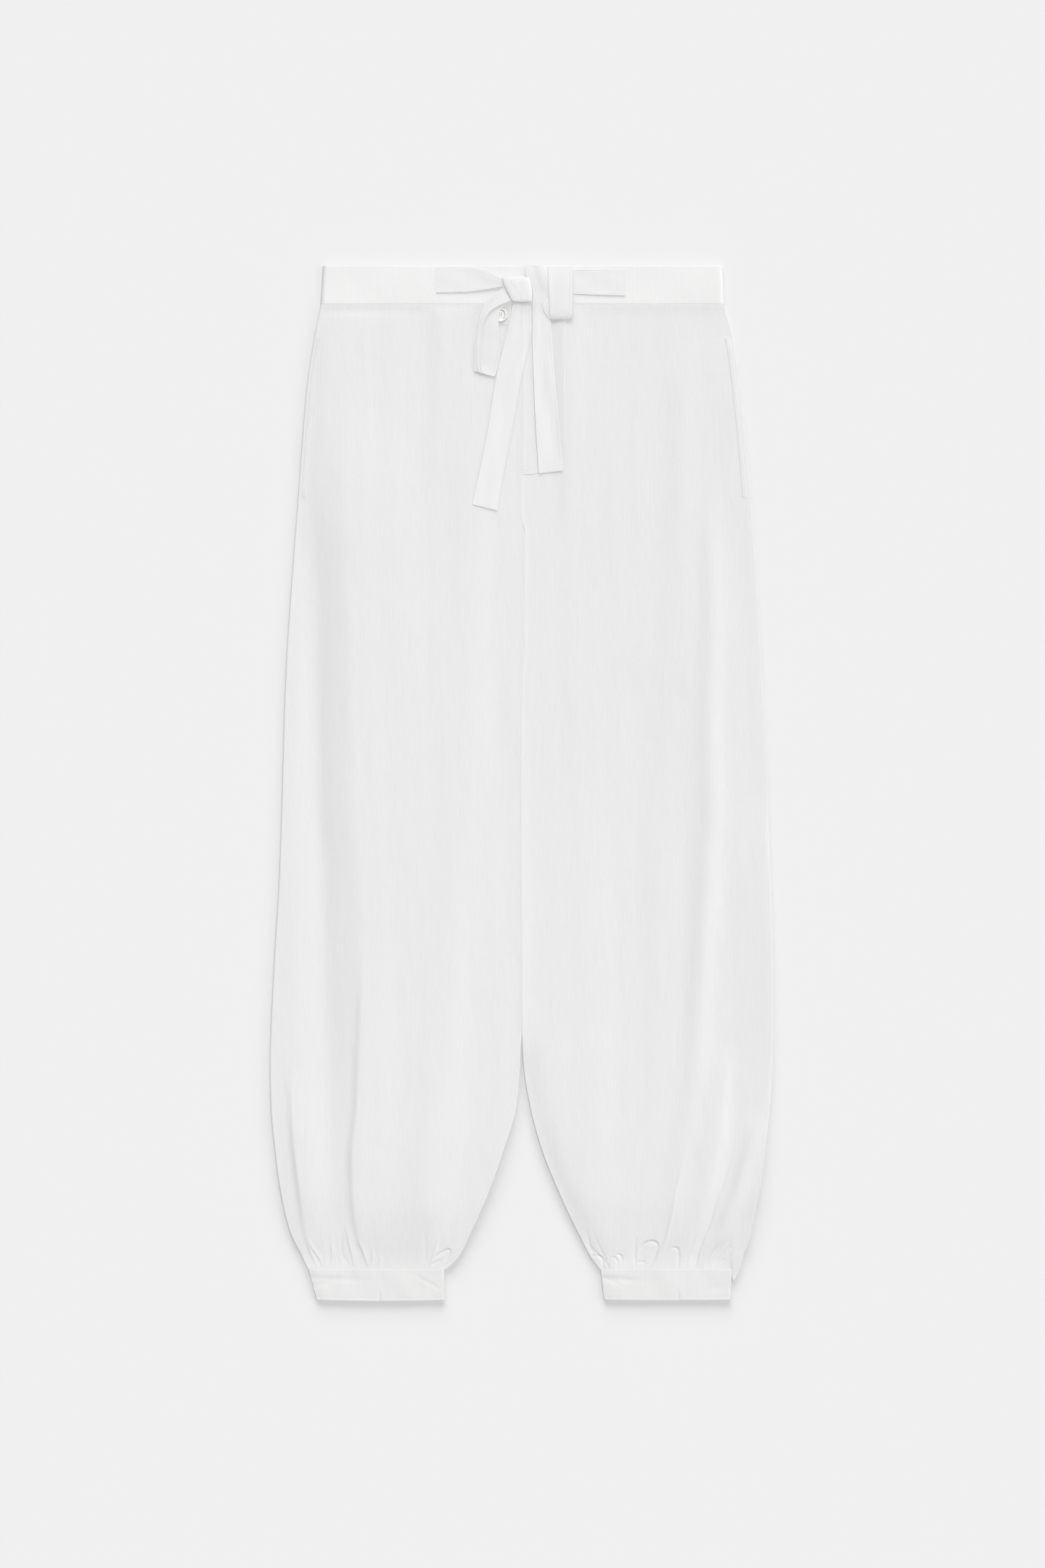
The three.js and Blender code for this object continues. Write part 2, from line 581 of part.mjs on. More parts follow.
// A flat strip of the tie between two edges, lying at a given lift over the cloth.
function laidStrip(rows) {
  const layer = (extra) =>
    rows.map(({ y, left, right, lift }) =>
      shares(STRIP_COLUMNS).map((share) => {
        const x = lerp(left, right, share);
        return [x, y, clothTop(x, y) + lift + extra];
      }),
    );
  return wall(layer(TIE), layer(0));
}

// Rows of a strip, from a short table of its stations.
function stripRows(table, count) {
  const [low, high] = [Math.min(...table.map((r) => r.y)), Math.max(...table.map((r) => r.y))];
  return Array.from({ length: count + 1 }, (_, k) => {
    const y = lerp(low, high, k / count);
    const [left, right, lift] = ["left", "right", "lift"].map((column) => along(table, "y", column, y));
    return { y, left, right, lift };
  });
}

// The tie's tails, from under the knot down over the fronts and the fly.
const ON_BAND = GAP;
const ON_STRAP = 2 * GAP + TIE + BAND_WAVE.height;
const ON_FLY = 2 * GAP + FLY.thickness;
const TAIL_LEFT = [
  { y: 484, left: -6.5, right: 7, lift: ON_BAND },
  { y: 477, left: -7.6, right: 8.4, lift: ON_BAND },
  { y: 470, left: -8.6, right: 8.8, lift: ON_FLY + 0.3 },
  { y: 444, left: -12.5, right: 8.2, lift: ON_FLY + 0.2 },
  { y: 405, left: -23.5, right: 2, lift: ON_FLY },
  { y: 350, left: -34, right: -9.5, lift: GAP + 0.2 },
  { y: 276, left: -48.5, right: -24, lift: GAP },
];
const TAIL_RIGHT = [
  { y: 497, left: 9.4, right: 19, lift: ON_STRAP },
  { y: 478, left: 11.4, right: 24, lift: ON_STRAP },
  { y: 468, left: 10.4, right: 27.4, lift: ON_STRAP + 0.3 },
  { y: 444, left: 9.8, right: 29.6, lift: ON_FLY + 0.2 },
  { y: 380, left: 12.4, right: 34.6, lift: ON_FLY },
  { y: 306.8, left: 16.8, right: 41, lift: ON_FLY },
];
const TAIL_ROWS = { left: 13, right: 11 };
add("tie_tail_left", laidStrip(stripRows(TAIL_LEFT, TAIL_ROWS.left)), tieCloth);
add("tie_tail_right", laidStrip(stripRows(TAIL_RIGHT, TAIL_ROWS.right)), tieCloth);

// The tie's straps on the waistband, sewn down at their outer ends and drawn in to the knot.
const STRAP_Z = WAISTBAND_TOP + BAND_WAVE.height + GAP + TIE / 2;
const STRAP_LEFT = [
  { x: -84.6, y: 498.2, z: STRAP_Z, width: 25.2, turn: 90, tip: 0 },
  { x: -60, y: 498.6, z: STRAP_Z, width: 25, turn: 90, tip: 0 },
  { x: -40, y: 498.4, z: STRAP_Z + 0.8, width: 21, turn: 90, tip: 0 },
  { x: -20.6, y: 496.6, z: STRAP_Z + 2.6, width: 11, turn: 90, tip: 0 },
];
const STRAP_RIGHT = [
  { x: 11.6, y: 495, z: STRAP_Z, width: 12, turn: 90, tip: 0 },
  { x: 50, y: 496.6, z: STRAP_Z, width: 24, turn: 90, tip: 0 },
  { x: 75, y: 496, z: STRAP_Z, width: 25, turn: 90, tip: 0 },
  { x: 102.6, y: 495.4, z: STRAP_Z, width: 25.2, turn: 90, tip: 0 },
];
const STRAP_STEPS = { left: 8, right: 9 };
add("tie_strap_left", ribbon(STRAP_LEFT, STRAP_STEPS.left), tieCloth);
add("tie_strap_right", ribbon(STRAP_RIGHT, STRAP_STEPS.right), tieCloth);

// The knot: a cushion of wrapped cloth that narrows to the right and downwards.
const KNOT = { leftLow: -8.6, leftHigh: -19.6, rightLow: 10.6, rightHigh: 7.6, low: 475.6, high: 500.8 };
const KNOT_HEIGHTS = { bottom: 9.35, rim: 12.4, edge: 0.4, top: 17.8 };
const KNOT_CREASE = { depth: 0.5, across: 3.2, along: 1.4 };
const KNOT_COLUMNS = 10;
const KNOT_ROWS = 8;

function knot() {
  const { bottom, rim, edge, top } = KNOT_HEIGHTS;
  const layer = (upper) =>
    shares(KNOT_ROWS).map((up) =>
      shares(KNOT_COLUMNS).map((share) => {
        const [u, v] = [2 * share - 1, 2 * up - 1];
        const left = lerp(KNOT.leftLow, KNOT.leftHigh, up);
        const right = lerp(KNOT.rightLow, KNOT.rightHigh, up);
        const x = lerp(left, right, share);
        const bulge = Math.sqrt((1 - u ** 4) * (1 - v ** 4));
        const crease = KNOT_CREASE.depth * Math.sin(KNOT_CREASE.across * u + KNOT_CREASE.along * v);
        const z = upper ? rim + edge + (top - rim + crease) * bulge : rim - (rim - bottom) * bulge;
        return [x, lerp(KNOT.low, KNOT.high, up), z];
      }),
    );
  return wall(layer(true), layer(false));
}
add("tie_knot", knot(), tieCloth);

// Bow loops. The left one hangs open, its front strand nearly on edge; the right one hangs broad over the
// waistband.
const LOOP_LEFT = [
  { x: -19.6, y: 476.4, z: 11.5, width: 8, turn: -36, tip: 0 },
  { x: -25.6, y: 466, z: 11.1, width: 13, turn: -24, tip: 0 },
  { x: -31, y: 452, z: 10.8, width: 17, turn: -8, tip: 0 },
  { x: -32.6, y: 432, z: 10.2, width: 20, turn: -2, tip: 0 },
  { x: -34, y: 414, z: 10.2, width: 22.5, turn: -10, tip: 0 },
  { x: -35.3, y: 404.8, z: 12.6, width: 21, turn: -12.8, tip: 0 },
  { x: -39.6, y: 409.6, z: 14.8, width: 13, turn: -12, tip: 20 },
  { x: -43.2, y: 422, z: 15.4, width: 8.5, turn: -6, tip: 35 },
  { x: -43.2, y: 440, z: 15.6, width: 7.5, turn: 0, tip: 40 },
  { x: -40.4, y: 457, z: 15.6, width: 7.5, turn: -14, tip: 40 },
  { x: -33.4, y: 469.6, z: 15.4, width: 10, turn: -32, tip: 25 },
  { x: -24.6, y: 479, z: 14.8, width: 12.5, turn: -42, tip: 10 },
  { x: -18.2, y: 484.6, z: 14.2, width: 14, turn: -52, tip: 0 },
];
const LOOP_RIGHT = [
  { x: 9.6, y: 505, z: 14, width: 12, turn: 90, tip: 0 },
  { x: 20, y: 504.8, z: 15.8, width: 14.5, turn: 84, tip: 0 },
  { x: 32, y: 504.6, z: 16.8, width: 19, turn: 50, tip: 0 },
  { x: 39.4, y: 496, z: 17.2, width: 23.4, turn: 0, tip: 0 },
  { x: 39.4, y: 480, z: 17.2, width: 23.4, turn: 0, tip: 0 },
  { x: 39.4, y: 467, z: 16, width: 23.4, turn: 0, tip: 0 },
  { x: 39.2, y: 461.6, z: 13.2, width: 23.2, turn: 0, tip: 0 },
  { x: 37.2, y: 465.6, z: 11.4, width: 21.5, turn: -3, tip: 0 },
  { x: 31.8, y: 478, z: 11.8, width: 20, turn: -6, tip: 0 },
  { x: 27, y: 490, z: 12, width: 17, turn: -14, tip: 0 },
  { x: 22, y: 497.6, z: 12.2, width: 12, turn: -28, tip: 0 },
];
const LOOP_STEPS = { left: 26, right: 22 };
add("bow_loop_left", ribbon(LOOP_LEFT, LOOP_STEPS.left), tieCloth);
add("bow_loop_right", ribbon(LOOP_RIGHT, LOOP_STEPS.right), tieCloth);

// The waist button on its tab of cloth, at the head of the fly, partly under the bow's left loop.
const TAB = { left: -30, right: -10.5, low: 454.4, high: 474, thickness: 0.8 };
const TAB_COLUMNS = 3;
const BUTTON = { x: -21.2, y: 464, radius: 7.5, thickness: 2, bevel: 0.4, hole: 0.9, holeAt: 1.7 };
const BUTTON_HOLES = 4;
const BUTTON_CURVE = 10;

function buttonTab() {
  const { low, high, left, right, thickness } = TAB;
  const rows = [0, 0.5, 1].map((up) => ({ y: lerp(low, high, up), left, right }));
  return overlay(rows, GAP, thickness, TAB_COLUMNS);
}
add("button_tab", buttonTab(), cloth);

function button() {
  const shape = new THREE.Shape();
  shape.absarc(0, 0, BUTTON.radius - BUTTON.bevel, 0, 2 * Math.PI);
  for (let k = 0; k < BUTTON_HOLES; k++) {
    const angle = (2 * Math.PI * (k + 0.5)) / BUTTON_HOLES;
    const [x, y] = [BUTTON.holeAt * Math.cos(angle), BUTTON.holeAt * Math.sin(angle)];
    shape.holes.push(new THREE.Path().absarc(x, y, BUTTON.hole, 0, 2 * Math.PI, true));
  }
  return new THREE.ExtrudeGeometry(shape, {
    depth: BUTTON.thickness - 2 * BUTTON.bevel,
    bevelThickness: BUTTON.bevel,
    bevelSize: BUTTON.bevel,
    bevelSegments: 1,
    curveSegments: BUTTON_CURVE,
    steps: 1,
  });
}
const buttonSeat = clothTop(BUTTON.x, BUTTON.y) + GAP + TAB.thickness + GAP;
add("waist_button", button(), shell).position.set(BUTTON.x, BUTTON.y, buttonSeat + BUTTON.bevel);

export default trousers;
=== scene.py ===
"""White balloon trousers laid flat with the front up: full legs with cuffs, a waistband and a tied bow.

Lengths are in millimetres until a mesh is made, which is in metres. X is to the right as seen from above, Y
runs from the cuffs to the waist, and Z is up from the surface that the garment lies on.
"""

import math
from collections import namedtuple

import bpy
import numpy as np
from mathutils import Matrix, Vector


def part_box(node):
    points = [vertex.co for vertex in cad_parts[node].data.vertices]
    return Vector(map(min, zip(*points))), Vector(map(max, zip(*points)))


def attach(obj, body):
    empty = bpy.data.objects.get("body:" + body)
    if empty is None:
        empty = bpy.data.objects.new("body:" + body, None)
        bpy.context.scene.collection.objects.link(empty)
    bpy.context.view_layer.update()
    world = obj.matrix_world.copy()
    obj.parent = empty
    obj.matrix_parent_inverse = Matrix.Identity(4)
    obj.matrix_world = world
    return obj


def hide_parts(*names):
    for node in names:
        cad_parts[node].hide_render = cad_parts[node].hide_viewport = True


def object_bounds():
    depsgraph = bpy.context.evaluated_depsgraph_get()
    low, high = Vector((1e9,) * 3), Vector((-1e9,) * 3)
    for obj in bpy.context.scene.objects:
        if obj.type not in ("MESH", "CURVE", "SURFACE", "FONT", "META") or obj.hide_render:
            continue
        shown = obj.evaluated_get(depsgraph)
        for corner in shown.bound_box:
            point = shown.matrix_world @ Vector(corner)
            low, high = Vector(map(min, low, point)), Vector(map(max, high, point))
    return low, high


MM = 0.001
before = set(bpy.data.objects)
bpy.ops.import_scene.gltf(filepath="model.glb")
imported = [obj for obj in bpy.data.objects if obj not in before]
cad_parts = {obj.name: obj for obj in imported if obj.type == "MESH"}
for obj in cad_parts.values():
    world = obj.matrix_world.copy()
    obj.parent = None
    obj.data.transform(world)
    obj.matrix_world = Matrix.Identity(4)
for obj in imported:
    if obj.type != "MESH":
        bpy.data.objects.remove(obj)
cad_low, cad_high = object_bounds()

# The photograph's frame, and where the middle of the garment lies in it
PHOTO_WIDTH = 1440
PHOTO_HEIGHT = 2160
MIDDLE_PIXEL = (718.5, 1078.5)
MM_PER_PIXEL = 0.72
CAMERA_HEIGHT = 4200
FOCUS_HEIGHT = 6  # the height over the floor at which the photograph's scale is true

# Cloth
LEG_CLOTH = 1.2
BAND_CLOTH = 2
TIE_CLOTH = 0.8
GAP = 0.3

# Places along and over the garment, from the frame
WAIST_TOP = cad_high.y / MM
WAIST_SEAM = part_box("waistband_back")[0].y / MM
CUFF_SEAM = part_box("cuff_left")[1].y / MM
HEM = cad_low.y / MM
CUFF_TOP = 7.5
CROTCH = 118
SIDE_SEAM_HEIGHT = 2.7
WAISTBAND_TOP = 7.4
LOWEST_FRONT = 3.5
LEGS_PART = (-290, -240)  # the legs lie against each other above here
LEGS_JOIN = (CROTCH - 30, CROTCH + 12)  # above here the cloth no longer sinks to the seam
SEAM_GROOVE = 0.03  # how far the legs' inner edges round over where they lie against each other
SEAM_CLOSE = 0.03
SEAM_RIDGE = {"left": (0.12, 3), "right": (0.4, 3.4)}  # height and width of each leg's ridge at the seam
FRONT_INSET = 0.9
INSET_REACH = 20
# x of the centre seam at each y
SEAM = {-275: 0.2, -90: -0.6, -15: -1.1, 56: -1.1, 114: 0.4, 138: 2.5, 177: 2.5, 220: 3.2, 249: 3.2, 268: -1,
        330: -0.6, 475: 0}

# How far the front stands over the floor and how wide its sides round over, up the leg
RISES = {-482: 6.9, -471: 7.2, -446: 8.6, -407: 9.8, -362: 9.8, -322: 9.2, -279: 8.6, -220: 8, -74: 7.4,
         101: 7, 283: 6.8, 400: 6.6, 442: 6.5, 475: 6.4}
OUTER_ROUNDS = {-482: 3.4, -446: 4, -322: 3.6, 475: 3}
INNER_ROUNDS = {-482: 3.4, -446: 4, -322: 4, -220: 3, 475: 3}
SIDE_ROUND = 0.34  # the share of those widths in which the cloth rounds over
SIDE_POWER = 3.4
EDGE_FALLS = {"left": (0.13, -0.08), "right": (-0.04, 0.34)}  # how far it sinks to its outer and inner edge
EDGE_FALL_WIDTH = 15
FOLDS_BEGIN = (0.35, 1)  # between these shares of a rounded side the folds begin
BANDS_BEGIN = (0.6, 1)  # and the front runs up to the waistband and the cuff
BAND_BLEND = 7  # how far from their seams the front begins to run up
CUFF_BLEND_POWER = 1.5
CUFF_STEP = 0.2  # how far the front stays below the cuff and the waistband
WAIST_STEP = 0.25
WAIST_CREASE = 0.1
WAIST_CREASE_WIDTH = 0.8
FOLDS_AT_SEAM = 0.25  # of their height is left where the folds run into the cuffs' seam
SEAM_REACH = 60
FOLD_END = 12  # how far past its ends a fold fades out

# Each fold follows a path of (x, y, height), where height is how far it stands over the cloth around it or,
# below 0, how deep it lies. Its flanks, left and right of the path, have their own widths.
Fold = namedtuple("Fold", "path left right")
FOLDS = {"left": [
    Fold([(-174.6, 373.3, 0), (-173.2, 286.9, 1.4), (-170.3, 207.7, 2.6), (-165.2, 142.9, 3.2),
          (-164.5, -22.7, 3.3), (-158.8, -80.3, 3.3), (-155.2, -159.5, 3), (-155.9, -260.3, 2.4),
          (-160.2, -325.1, 1.8), (-161.6, -404.3, 1.4), (-157.3, -479.9, 0.8)], 20, 95),
    Fold([(-213.5, 301.3, 0), (-209.2, 250.9, -1.2), (-206.3, 200.5, -2), (-204.1, 128.5, -2.3),
          (-203.4, -15.5, -2.3), (-199.1, -87.5, -2.2), (-196.2, -173.9, -2), (-193.3, -253.1, -1.5),
          (-191.2, -332.3, -1), (-187.6, -404.3, -0.7), (-184.7, -479.9, 0)], 22, 13),
    Fold([(-173.2, 459.7, 1.2), (-171.7, 373.3, 2), (-173.2, 315.7, 2.2), (-171.7, 258.1, 1.4),
          (-168.8, 200.5, 0)], 32, 60),
    Fold([(-157.3, -159.5, 0), (-158, -217.1, 0.9), (-160.2, -267.5, 1.5), (-162.4, -325.1, 1.8),
          (-166.7, -368.3, 1.8), (-166, -411.5, 1.5), (-160.2, -448.9, 1.3),
          (-151.6, -479.9, 1.1)], 4.5, 40),
    Fold([(-42.1, 373.3, 0), (-45.7, 272.5, 1), (-52.9, 128.5, 1.3), (-60.8, -15.5, 1.4),
          (-69.5, -159.5, 1.6), (-76.7, -267.5, 1.8), (-83.2, -345.2, 2.1), (-91.1, -404.3, 2.3),
          (-94.7, -479.9, 1.4)], 26, 22),
    Fold([(-76.7, 466.9, 1.2), (-76.7, 402.1, 1.2), (-81, 344.5, 0.8), (-85.3, 286.9, 0)], 14, 40),
    Fold([(-227.9, -281.9, 0), (-226.4, -332.3, 1.3), (-224.3, -361.1, 1.8), (-220.7, -389.9, 2),
          (-217.1, -418.7, 1.4), (-212, -447.5, 0.8), (-203.4, -476.3, 0.4)], 4, 34),
], "right": [
    Fold([(191.2, 315.7, 0), (188.3, 258.1, 1), (189, 207.7, 1.6), (189.7, 161.6, 2), (188.3, 115.6, 2.2),
          (186.8, 69.5, 2.4), (187.6, 23.4, 2.4), (189, -22.7, 2.5), (186.1, -68.8, 2.5),
          (184, -114.8, 2.6), (180.4, -160.9, 2.5), (176.8, -207, 2.2), (173.9, -253.1, 1.8),
          (169.6, -299.2, 1.6), (163.8, -345.2, 1.4), (155.9, -391.3, 1), (149.4, -433.1, 0.9),
          (136.4, -472.7, 0.6)], 12, 11),
    Fold([(159.5, 438.1, 0), (160.9, 387.7, 1.1), (159.5, 301.3, 1.2), (153.7, 207.7, 0.9),
          (152.3, 92.5, 0.7), (148.7, -1.1, 0.5), (145.1, -51.5, 0)], 16, 30),
    Fold([(202.7, 430.9, 0.9), (211.3, 373.3, 1.4), (217.1, 315.7, 1.4), (222.8, 258.1, 0.8),
          (227.2, 200.5, 0)], 30, 24),
    Fold([(238.7, -15.5, 0), (244.4, -87.5, 1.5), (247.3, -159.5, 1.8), (248.8, -217.1, 2),
          (245.9, -281.9, 2), (243, -332.3, 1.8), (238.7, -389.9, 1), (234.4, -433.1, 0)], 30, 5),
    Fold([(40.7, 466.9, 1.2), (42.8, 402.1, 1.6), (45.7, 344.5, 1.2), (48.6, 286.9, 0.6),
          (51.5, 229.3, 0)], 10, 30),
    Fold([(112.7, 128.5, 0), (113.4, 56.5, -0.8), (112, -87.5, -1.1), (110.5, -231.5, -1.1),
          (107.6, -339.5, -0.8), (101.9, -411.5, 0)], 32, 20),
    Fold([(209.9, -260.3, 0), (199.8, -299.2, 1.6), (196.2, -345.2, 2.2), (187.6, -391.3, 2.4),
          (171, -437.4, 2), (158, -472.7, 1.2)], 19, 8),
    Fold([(235.1, -325.1, 0), (227.2, -362.5, 1.8), (221.4, -380.5, 2.4), (212.8, -409.3, 2.8),
          (205.6, -426.6, 2.9), (198.4, -445.3, 2.8), (186.1, -464, 2.2), (178.2, -477.7, 1.4)], 8, 10),
    Fold([(247.3, -346.7, 0.8), (243, -389.9, 1.8), (235.1, -433.1, 2.2), (224.3, -461.9, 2.2),
          (215.6, -479.9, 1.6)], 14, 6),
    Fold([(1.1, 56.5, 0), (0.4, -1.1, 0.6), (0.4, -159.5, 0.7), (1.1, -245.9, 0.5), (4, -289.1, 0)], 6, 8),
]}

# The gathers over the cuffs: pinched creases and small ridges along paths of (x, y, height), with the half
# widths of their flanks to the left and right of the way along the path
Crease = namedtuple("Crease", "path left right")
CREASES = {"left": [
    Crease([(-215.6, -446, 0), (-211.3, -459.4, 0.27), (-206.3, -472, 0.36), (-201.2, -482, 0.36)], 2, 1),
    Crease([(-213.5, -448.9, 0), (-209.3, -457.8, 0.35), (-204.3, -465.9, 0.47), (-199.2, -474, 0.47),
            (-196.6, -482, 0.47)], 2.4, 0.9),
    Crease([(-194, -464.8, 0), (-194.3, -472, 0.29), (-195.3, -482, 0.29)], 1.8, 1),
    Crease([(-188, -448.9, 0), (-188.4, -457.8, 0.3), (-187.6, -466.9, 0.4), (-189, -477, 0.4),
            (-190.2, -482, 0.4)], 2.2, 0.9),
    Crease([(-183.4, -464.8, 0), (-184.1, -473.4, 0.25), (-183.8, -482, 0.25)], 1.6, 1),
    Crease([(-178.9, -443.2, 0), (-178.2, -453.2, -0.19), (-177.9, -464, -0.25), (-175.5, -474.1, -0.25),
            (-174.6, -482, -0.25)], 1, 2),
    Crease([(-176.5, -469.1, 0), (-173.2, -474.1, -0.43), (-171.9, -482, -0.43)], 0.9, 1.4),
    Crease([(-174.9, -436, 0), (-172.5, -449.6, 0.37), (-170, -460.9, 0.5), (-167.4, -471, 0.5),
            (-166, -478, 0.5), (-163.4, -482.8, 0.5)], 4.5, 0.9),
    Crease([(-163.8, -450.4, 0), (-158.9, -460.9, 0.4), (-155.9, -467.9, 0.54), (-153.4, -476, 0.54),
            (-151.1, -482.8, 0.54)], 3, 0.8),
    Crease([(-147.2, -463.3, 0), (-147.7, -470.5, 0.55), (-149.4, -482, 0.55)], 1.7, 0.9),
    Crease([(-139.8, -467.6, 0), (-140.3, -473.4, 0.5), (-141.8, -482, 0.5)], 1.6, 0.9),
    Crease([(-132.4, -472, 0), (-133.3, -482, 0.3)], 1.6, 1),
    Crease([(-148.2, -480.9, 0), (-145.1, -480.3, -0.5), (-141.6, -480.6, 0)], 0.7, 0.9),
    Crease([(-138.6, -481, 0), (-132.1, -480.9, -0.5), (-124.9, -481.2, 0)], 0.7, 0.9),
    Crease([(-108.4, -477.7, 0), (-105.5, -476.4, -0.3), (-101.9, -475.8, 0)], 0.9, 1.2),
    Crease([(-95.7, -446, 0), (-94.5, -456.8, -0.3), (-94.8, -466.9, -0.3), (-96.1, -477, 0)], 1, 1.9),
    Crease([(-82.4, -450.4, 0), (-85.6, -462.6, 0.38), (-88.6, -471.2, 0.5), (-91.4, -482, 0.5)], 2, 0.9),
    Crease([(-86.8, -471.2, 0), (-82.3, -467.4, -0.49), (-77.3, -464.3, -0.65), (-72.5, -462.4, -0.65),
            (-70.5, -463.7, -0.65), (-71.4, -466.9, -0.65), (-73.2, -471.2, -0.49),
            (-76.2, -477, 0)], 0.9, 2.2),
    Crease([(-91.4, -479.2, -0.6), (-86.3, -475.8, -0.6), (-82, -473.8, -0.45),
            (-78.8, -472.7, 0)], 0.9, 1.6),
    Crease([(-83.3, -482.8, -0.7), (-77.3, -479, -0.7), (-71.2, -475.3, -0.52),
            (-66.6, -469.8, 0)], 0.9, 1.6),
], "right": [
    Crease([(63.7, -441.7, 0), (66.3, -450.4, -0.3), (68, -459.7, -0.4), (70.9, -466.6, -0.3),
            (73.8, -472.7, 0)], 1, 1.8),
    Crease([(67.3, -456.1, 0), (70.3, -461.6, -0.41), (75, -466.6, -0.55), (81, -471.7, -0.55),
            (85.6, -479.2, -0.55)], 0.9, 1.8),
    Crease([(70.2, -443.2, 0), (77.3, -459.7, -0.26), (82.4, -470.1, -0.35),
            (87.2, -480.6, -0.35)], 1, 1.8),
    Crease([(69, -474.1, -0.65), (70.5, -470.5, -0.65), (72.9, -468.8, -0.65), (76.4, -468.9, -0.65),
            (79.6, -471.2, -0.65), (81.3, -475.8, -0.65), (81.9, -482, -0.65)], 0.8, 2),
    Crease([(86.3, -479.2, -0.4), (87.5, -473, -0.4), (89.9, -470.1, -0.4), (93.2, -471.2, -0.4),
            (95.5, -474.8, -0.4), (95.7, -482, -0.4)], 0.8, 1.6),
    Crease([(88.8, -469.8, 0), (88.2, -482, 0.3)], 1.6, 1),
    Crease([(93.7, -468.1, 0), (96.4, -467.4, -0.49), (99, -468.9, -0.65), (99.7, -472.5, -0.49),
            (97.6, -477, 0)], 0.8, 1.7),
    Crease([(113.4, -447.5, 0), (113.4, -458.3, -0.38), (112.7, -468.4, -0.5),
            (113.7, -482, -0.5)], 0.8, 1.8),
    Crease([(116.7, -471.2, 0), (117.3, -464.8, -0.49), (119.6, -459.4, -0.65), (123.3, -455.7, -0.65),
            (129, -454, -0.65), (133.8, -455.5, -0.65), (135.6, -459.7, -0.65), (134, -465.5, -0.65),
            (131.7, -471.2, -0.49), (128.2, -477.7, 0)], 0.9, 2.4),
    Crease([(114.6, -475.8, 0), (119.2, -474.8, -0.6), (124.6, -475.1, 0)], 0.8, 1.5),
    Crease([(165.2, -351, 0), (159.5, -375.5, 0.2), (153.6, -400, 0.35), (149.1, -425.9, 0.5),
            (145.4, -443.6, 0.6), (142.9, -452.8, 0.65), (140.3, -459.7, 0.65), (136.4, -466.6, 0.65),
            (131.8, -474.1, 0.65), (127.5, -482, 0.65)], 2.4, 0.9),
    Crease([(147.7, -463.3, 0), (150.8, -460.6, -0.49), (154.2, -460.9, -0.65), (156.2, -464.3, -0.65),
            (156.3, -471.2, -0.65), (155.4, -482, -0.65)], 0.8, 1.8),
    Crease([(172.9, -433.1, 0), (171.3, -450.4, -0.34), (168.6, -461.9, -0.45), (164.8, -471.2, -0.45),
            (161.8, -482, -0.45)], 0.9, 1.8),
    Crease([(172.2, -463.3, 0), (170.6, -472, -0.45), (169.8, -482, -0.45)], 0.9, 1.4),
    Crease([(212, -354, 0), (202, -392.8, -0.5), (193, -415, -0.6), (187.3, -436.7, -0.7),
            (182.1, -448.2, -0.8), (177.6, -459.7, -0.8), (174.7, -470.1, -0.8),
            (172.6, -482, -0.8)], 1.1, 3.6),
    Crease([(197.2, -455.4, 0), (193.3, -461.9, -0.56), (188.3, -469.5, -0.75),
            (181.5, -482, -0.75)], 0.9, 1.3),
    Crease([(205.6, -451.8, 0), (198.1, -463.3, -0.49), (192.6, -472, -0.65),
            (186.6, -482, -0.65)], 0.9, 1.3),
    Crease([(213.5, -455.4, 0), (203.8, -466.2, -0.49), (198.4, -473.4, -0.65),
            (193, -482, -0.65)], 0.9, 1.3),
    Crease([(207.7, -471.2, 0), (203.4, -474.8, -0.5), (198.1, -482, -0.5)], 0.8, 1.2),
]}
CREASE_REACH = 136  # no crease starts higher than this over the cuff
PATH_STEPS = 5
# Slow swells of the cloth as it lies: height, and how many mm a swell is wide and long
SWELLS = [(0.09, 61, 420), (0.06, 37, 260), (0.035, 23, 170), (0.05, 97, 88)]
SWELL_WANDER = 0.35
SWELL_SHIFT = 1.7  # in radians, from one kind of swell to the next
SWELL_PHASES = {"left": 0, "right": 2.1}
SWELL_REACH = 120

# The back's shallow hollows, and its gathers over the cuffs
BACK_HOLLOW = 0.18
BACK_GATHERS = 22
GATHER_WIDTH = 1.5
GATHER_LEAN = 300  # the higher, the less the gathers fan out
GATHER_POWER = 1.5


def smoothstep(value, low, high):
    t = np.clip((value - low) / (high - low), 0, 1)
    return t * t * (3 - 2 * t)


def monotone(knots, values, at):
    """A smooth curve through the values at the knots, which doesn't overshoot them."""
    knots, values, at = (np.asarray(a, float) for a in (knots, values, at))
    steps = np.diff(knots)
    slopes = np.diff(values) / steps
    before, after = slopes[:-1], slopes[1:]
    total = np.where(before * after > 0, before + after, 1)
    inside = np.where(before * after > 0, 2 * before * after / total, 0)
    tangents = np.concatenate([slopes[:1], inside, slopes[-1:]])
    k = np.clip(np.searchsorted(knots, at, side="right") - 1, 0, len(steps) - 1)
    t = np.clip((at - knots[k]) / steps[k], 0, 1)
    return (
        (2 * t**3 - 3 * t**2 + 1) * values[k]
        + (t**3 - 2 * t**2 + t) * steps[k] * tangents[k]
        + (3 * t**2 - 2 * t**3) * values[k + 1]
        + (t**3 - t**2) * steps[k] * tangents[k + 1]
    )


def bell(offset, width, power=2):
    """1 at an offset of 0, and less the further away it is."""
    return np.exp(-(np.abs(offset / width) ** power))


def from_table(table, at):
    """The smooth curve of a table of values by place."""
    return monotone(list(table), list(table.values()), at)


def columns_along(table, knots, at):
    """Each column of a table of named rows, as a smooth curve through the knots."""
    return {field: monotone(knots, [getattr(row, field) for row in table], at) for field in table[0]._fields}


def rounded(distance, width, power=2.4):
    """A side that rounds over: 0 at the edge and 1 from width on."""
    t = np.clip(distance / width, 0, 1)
    return (1 - (1 - t) ** power) ** (1 / power)


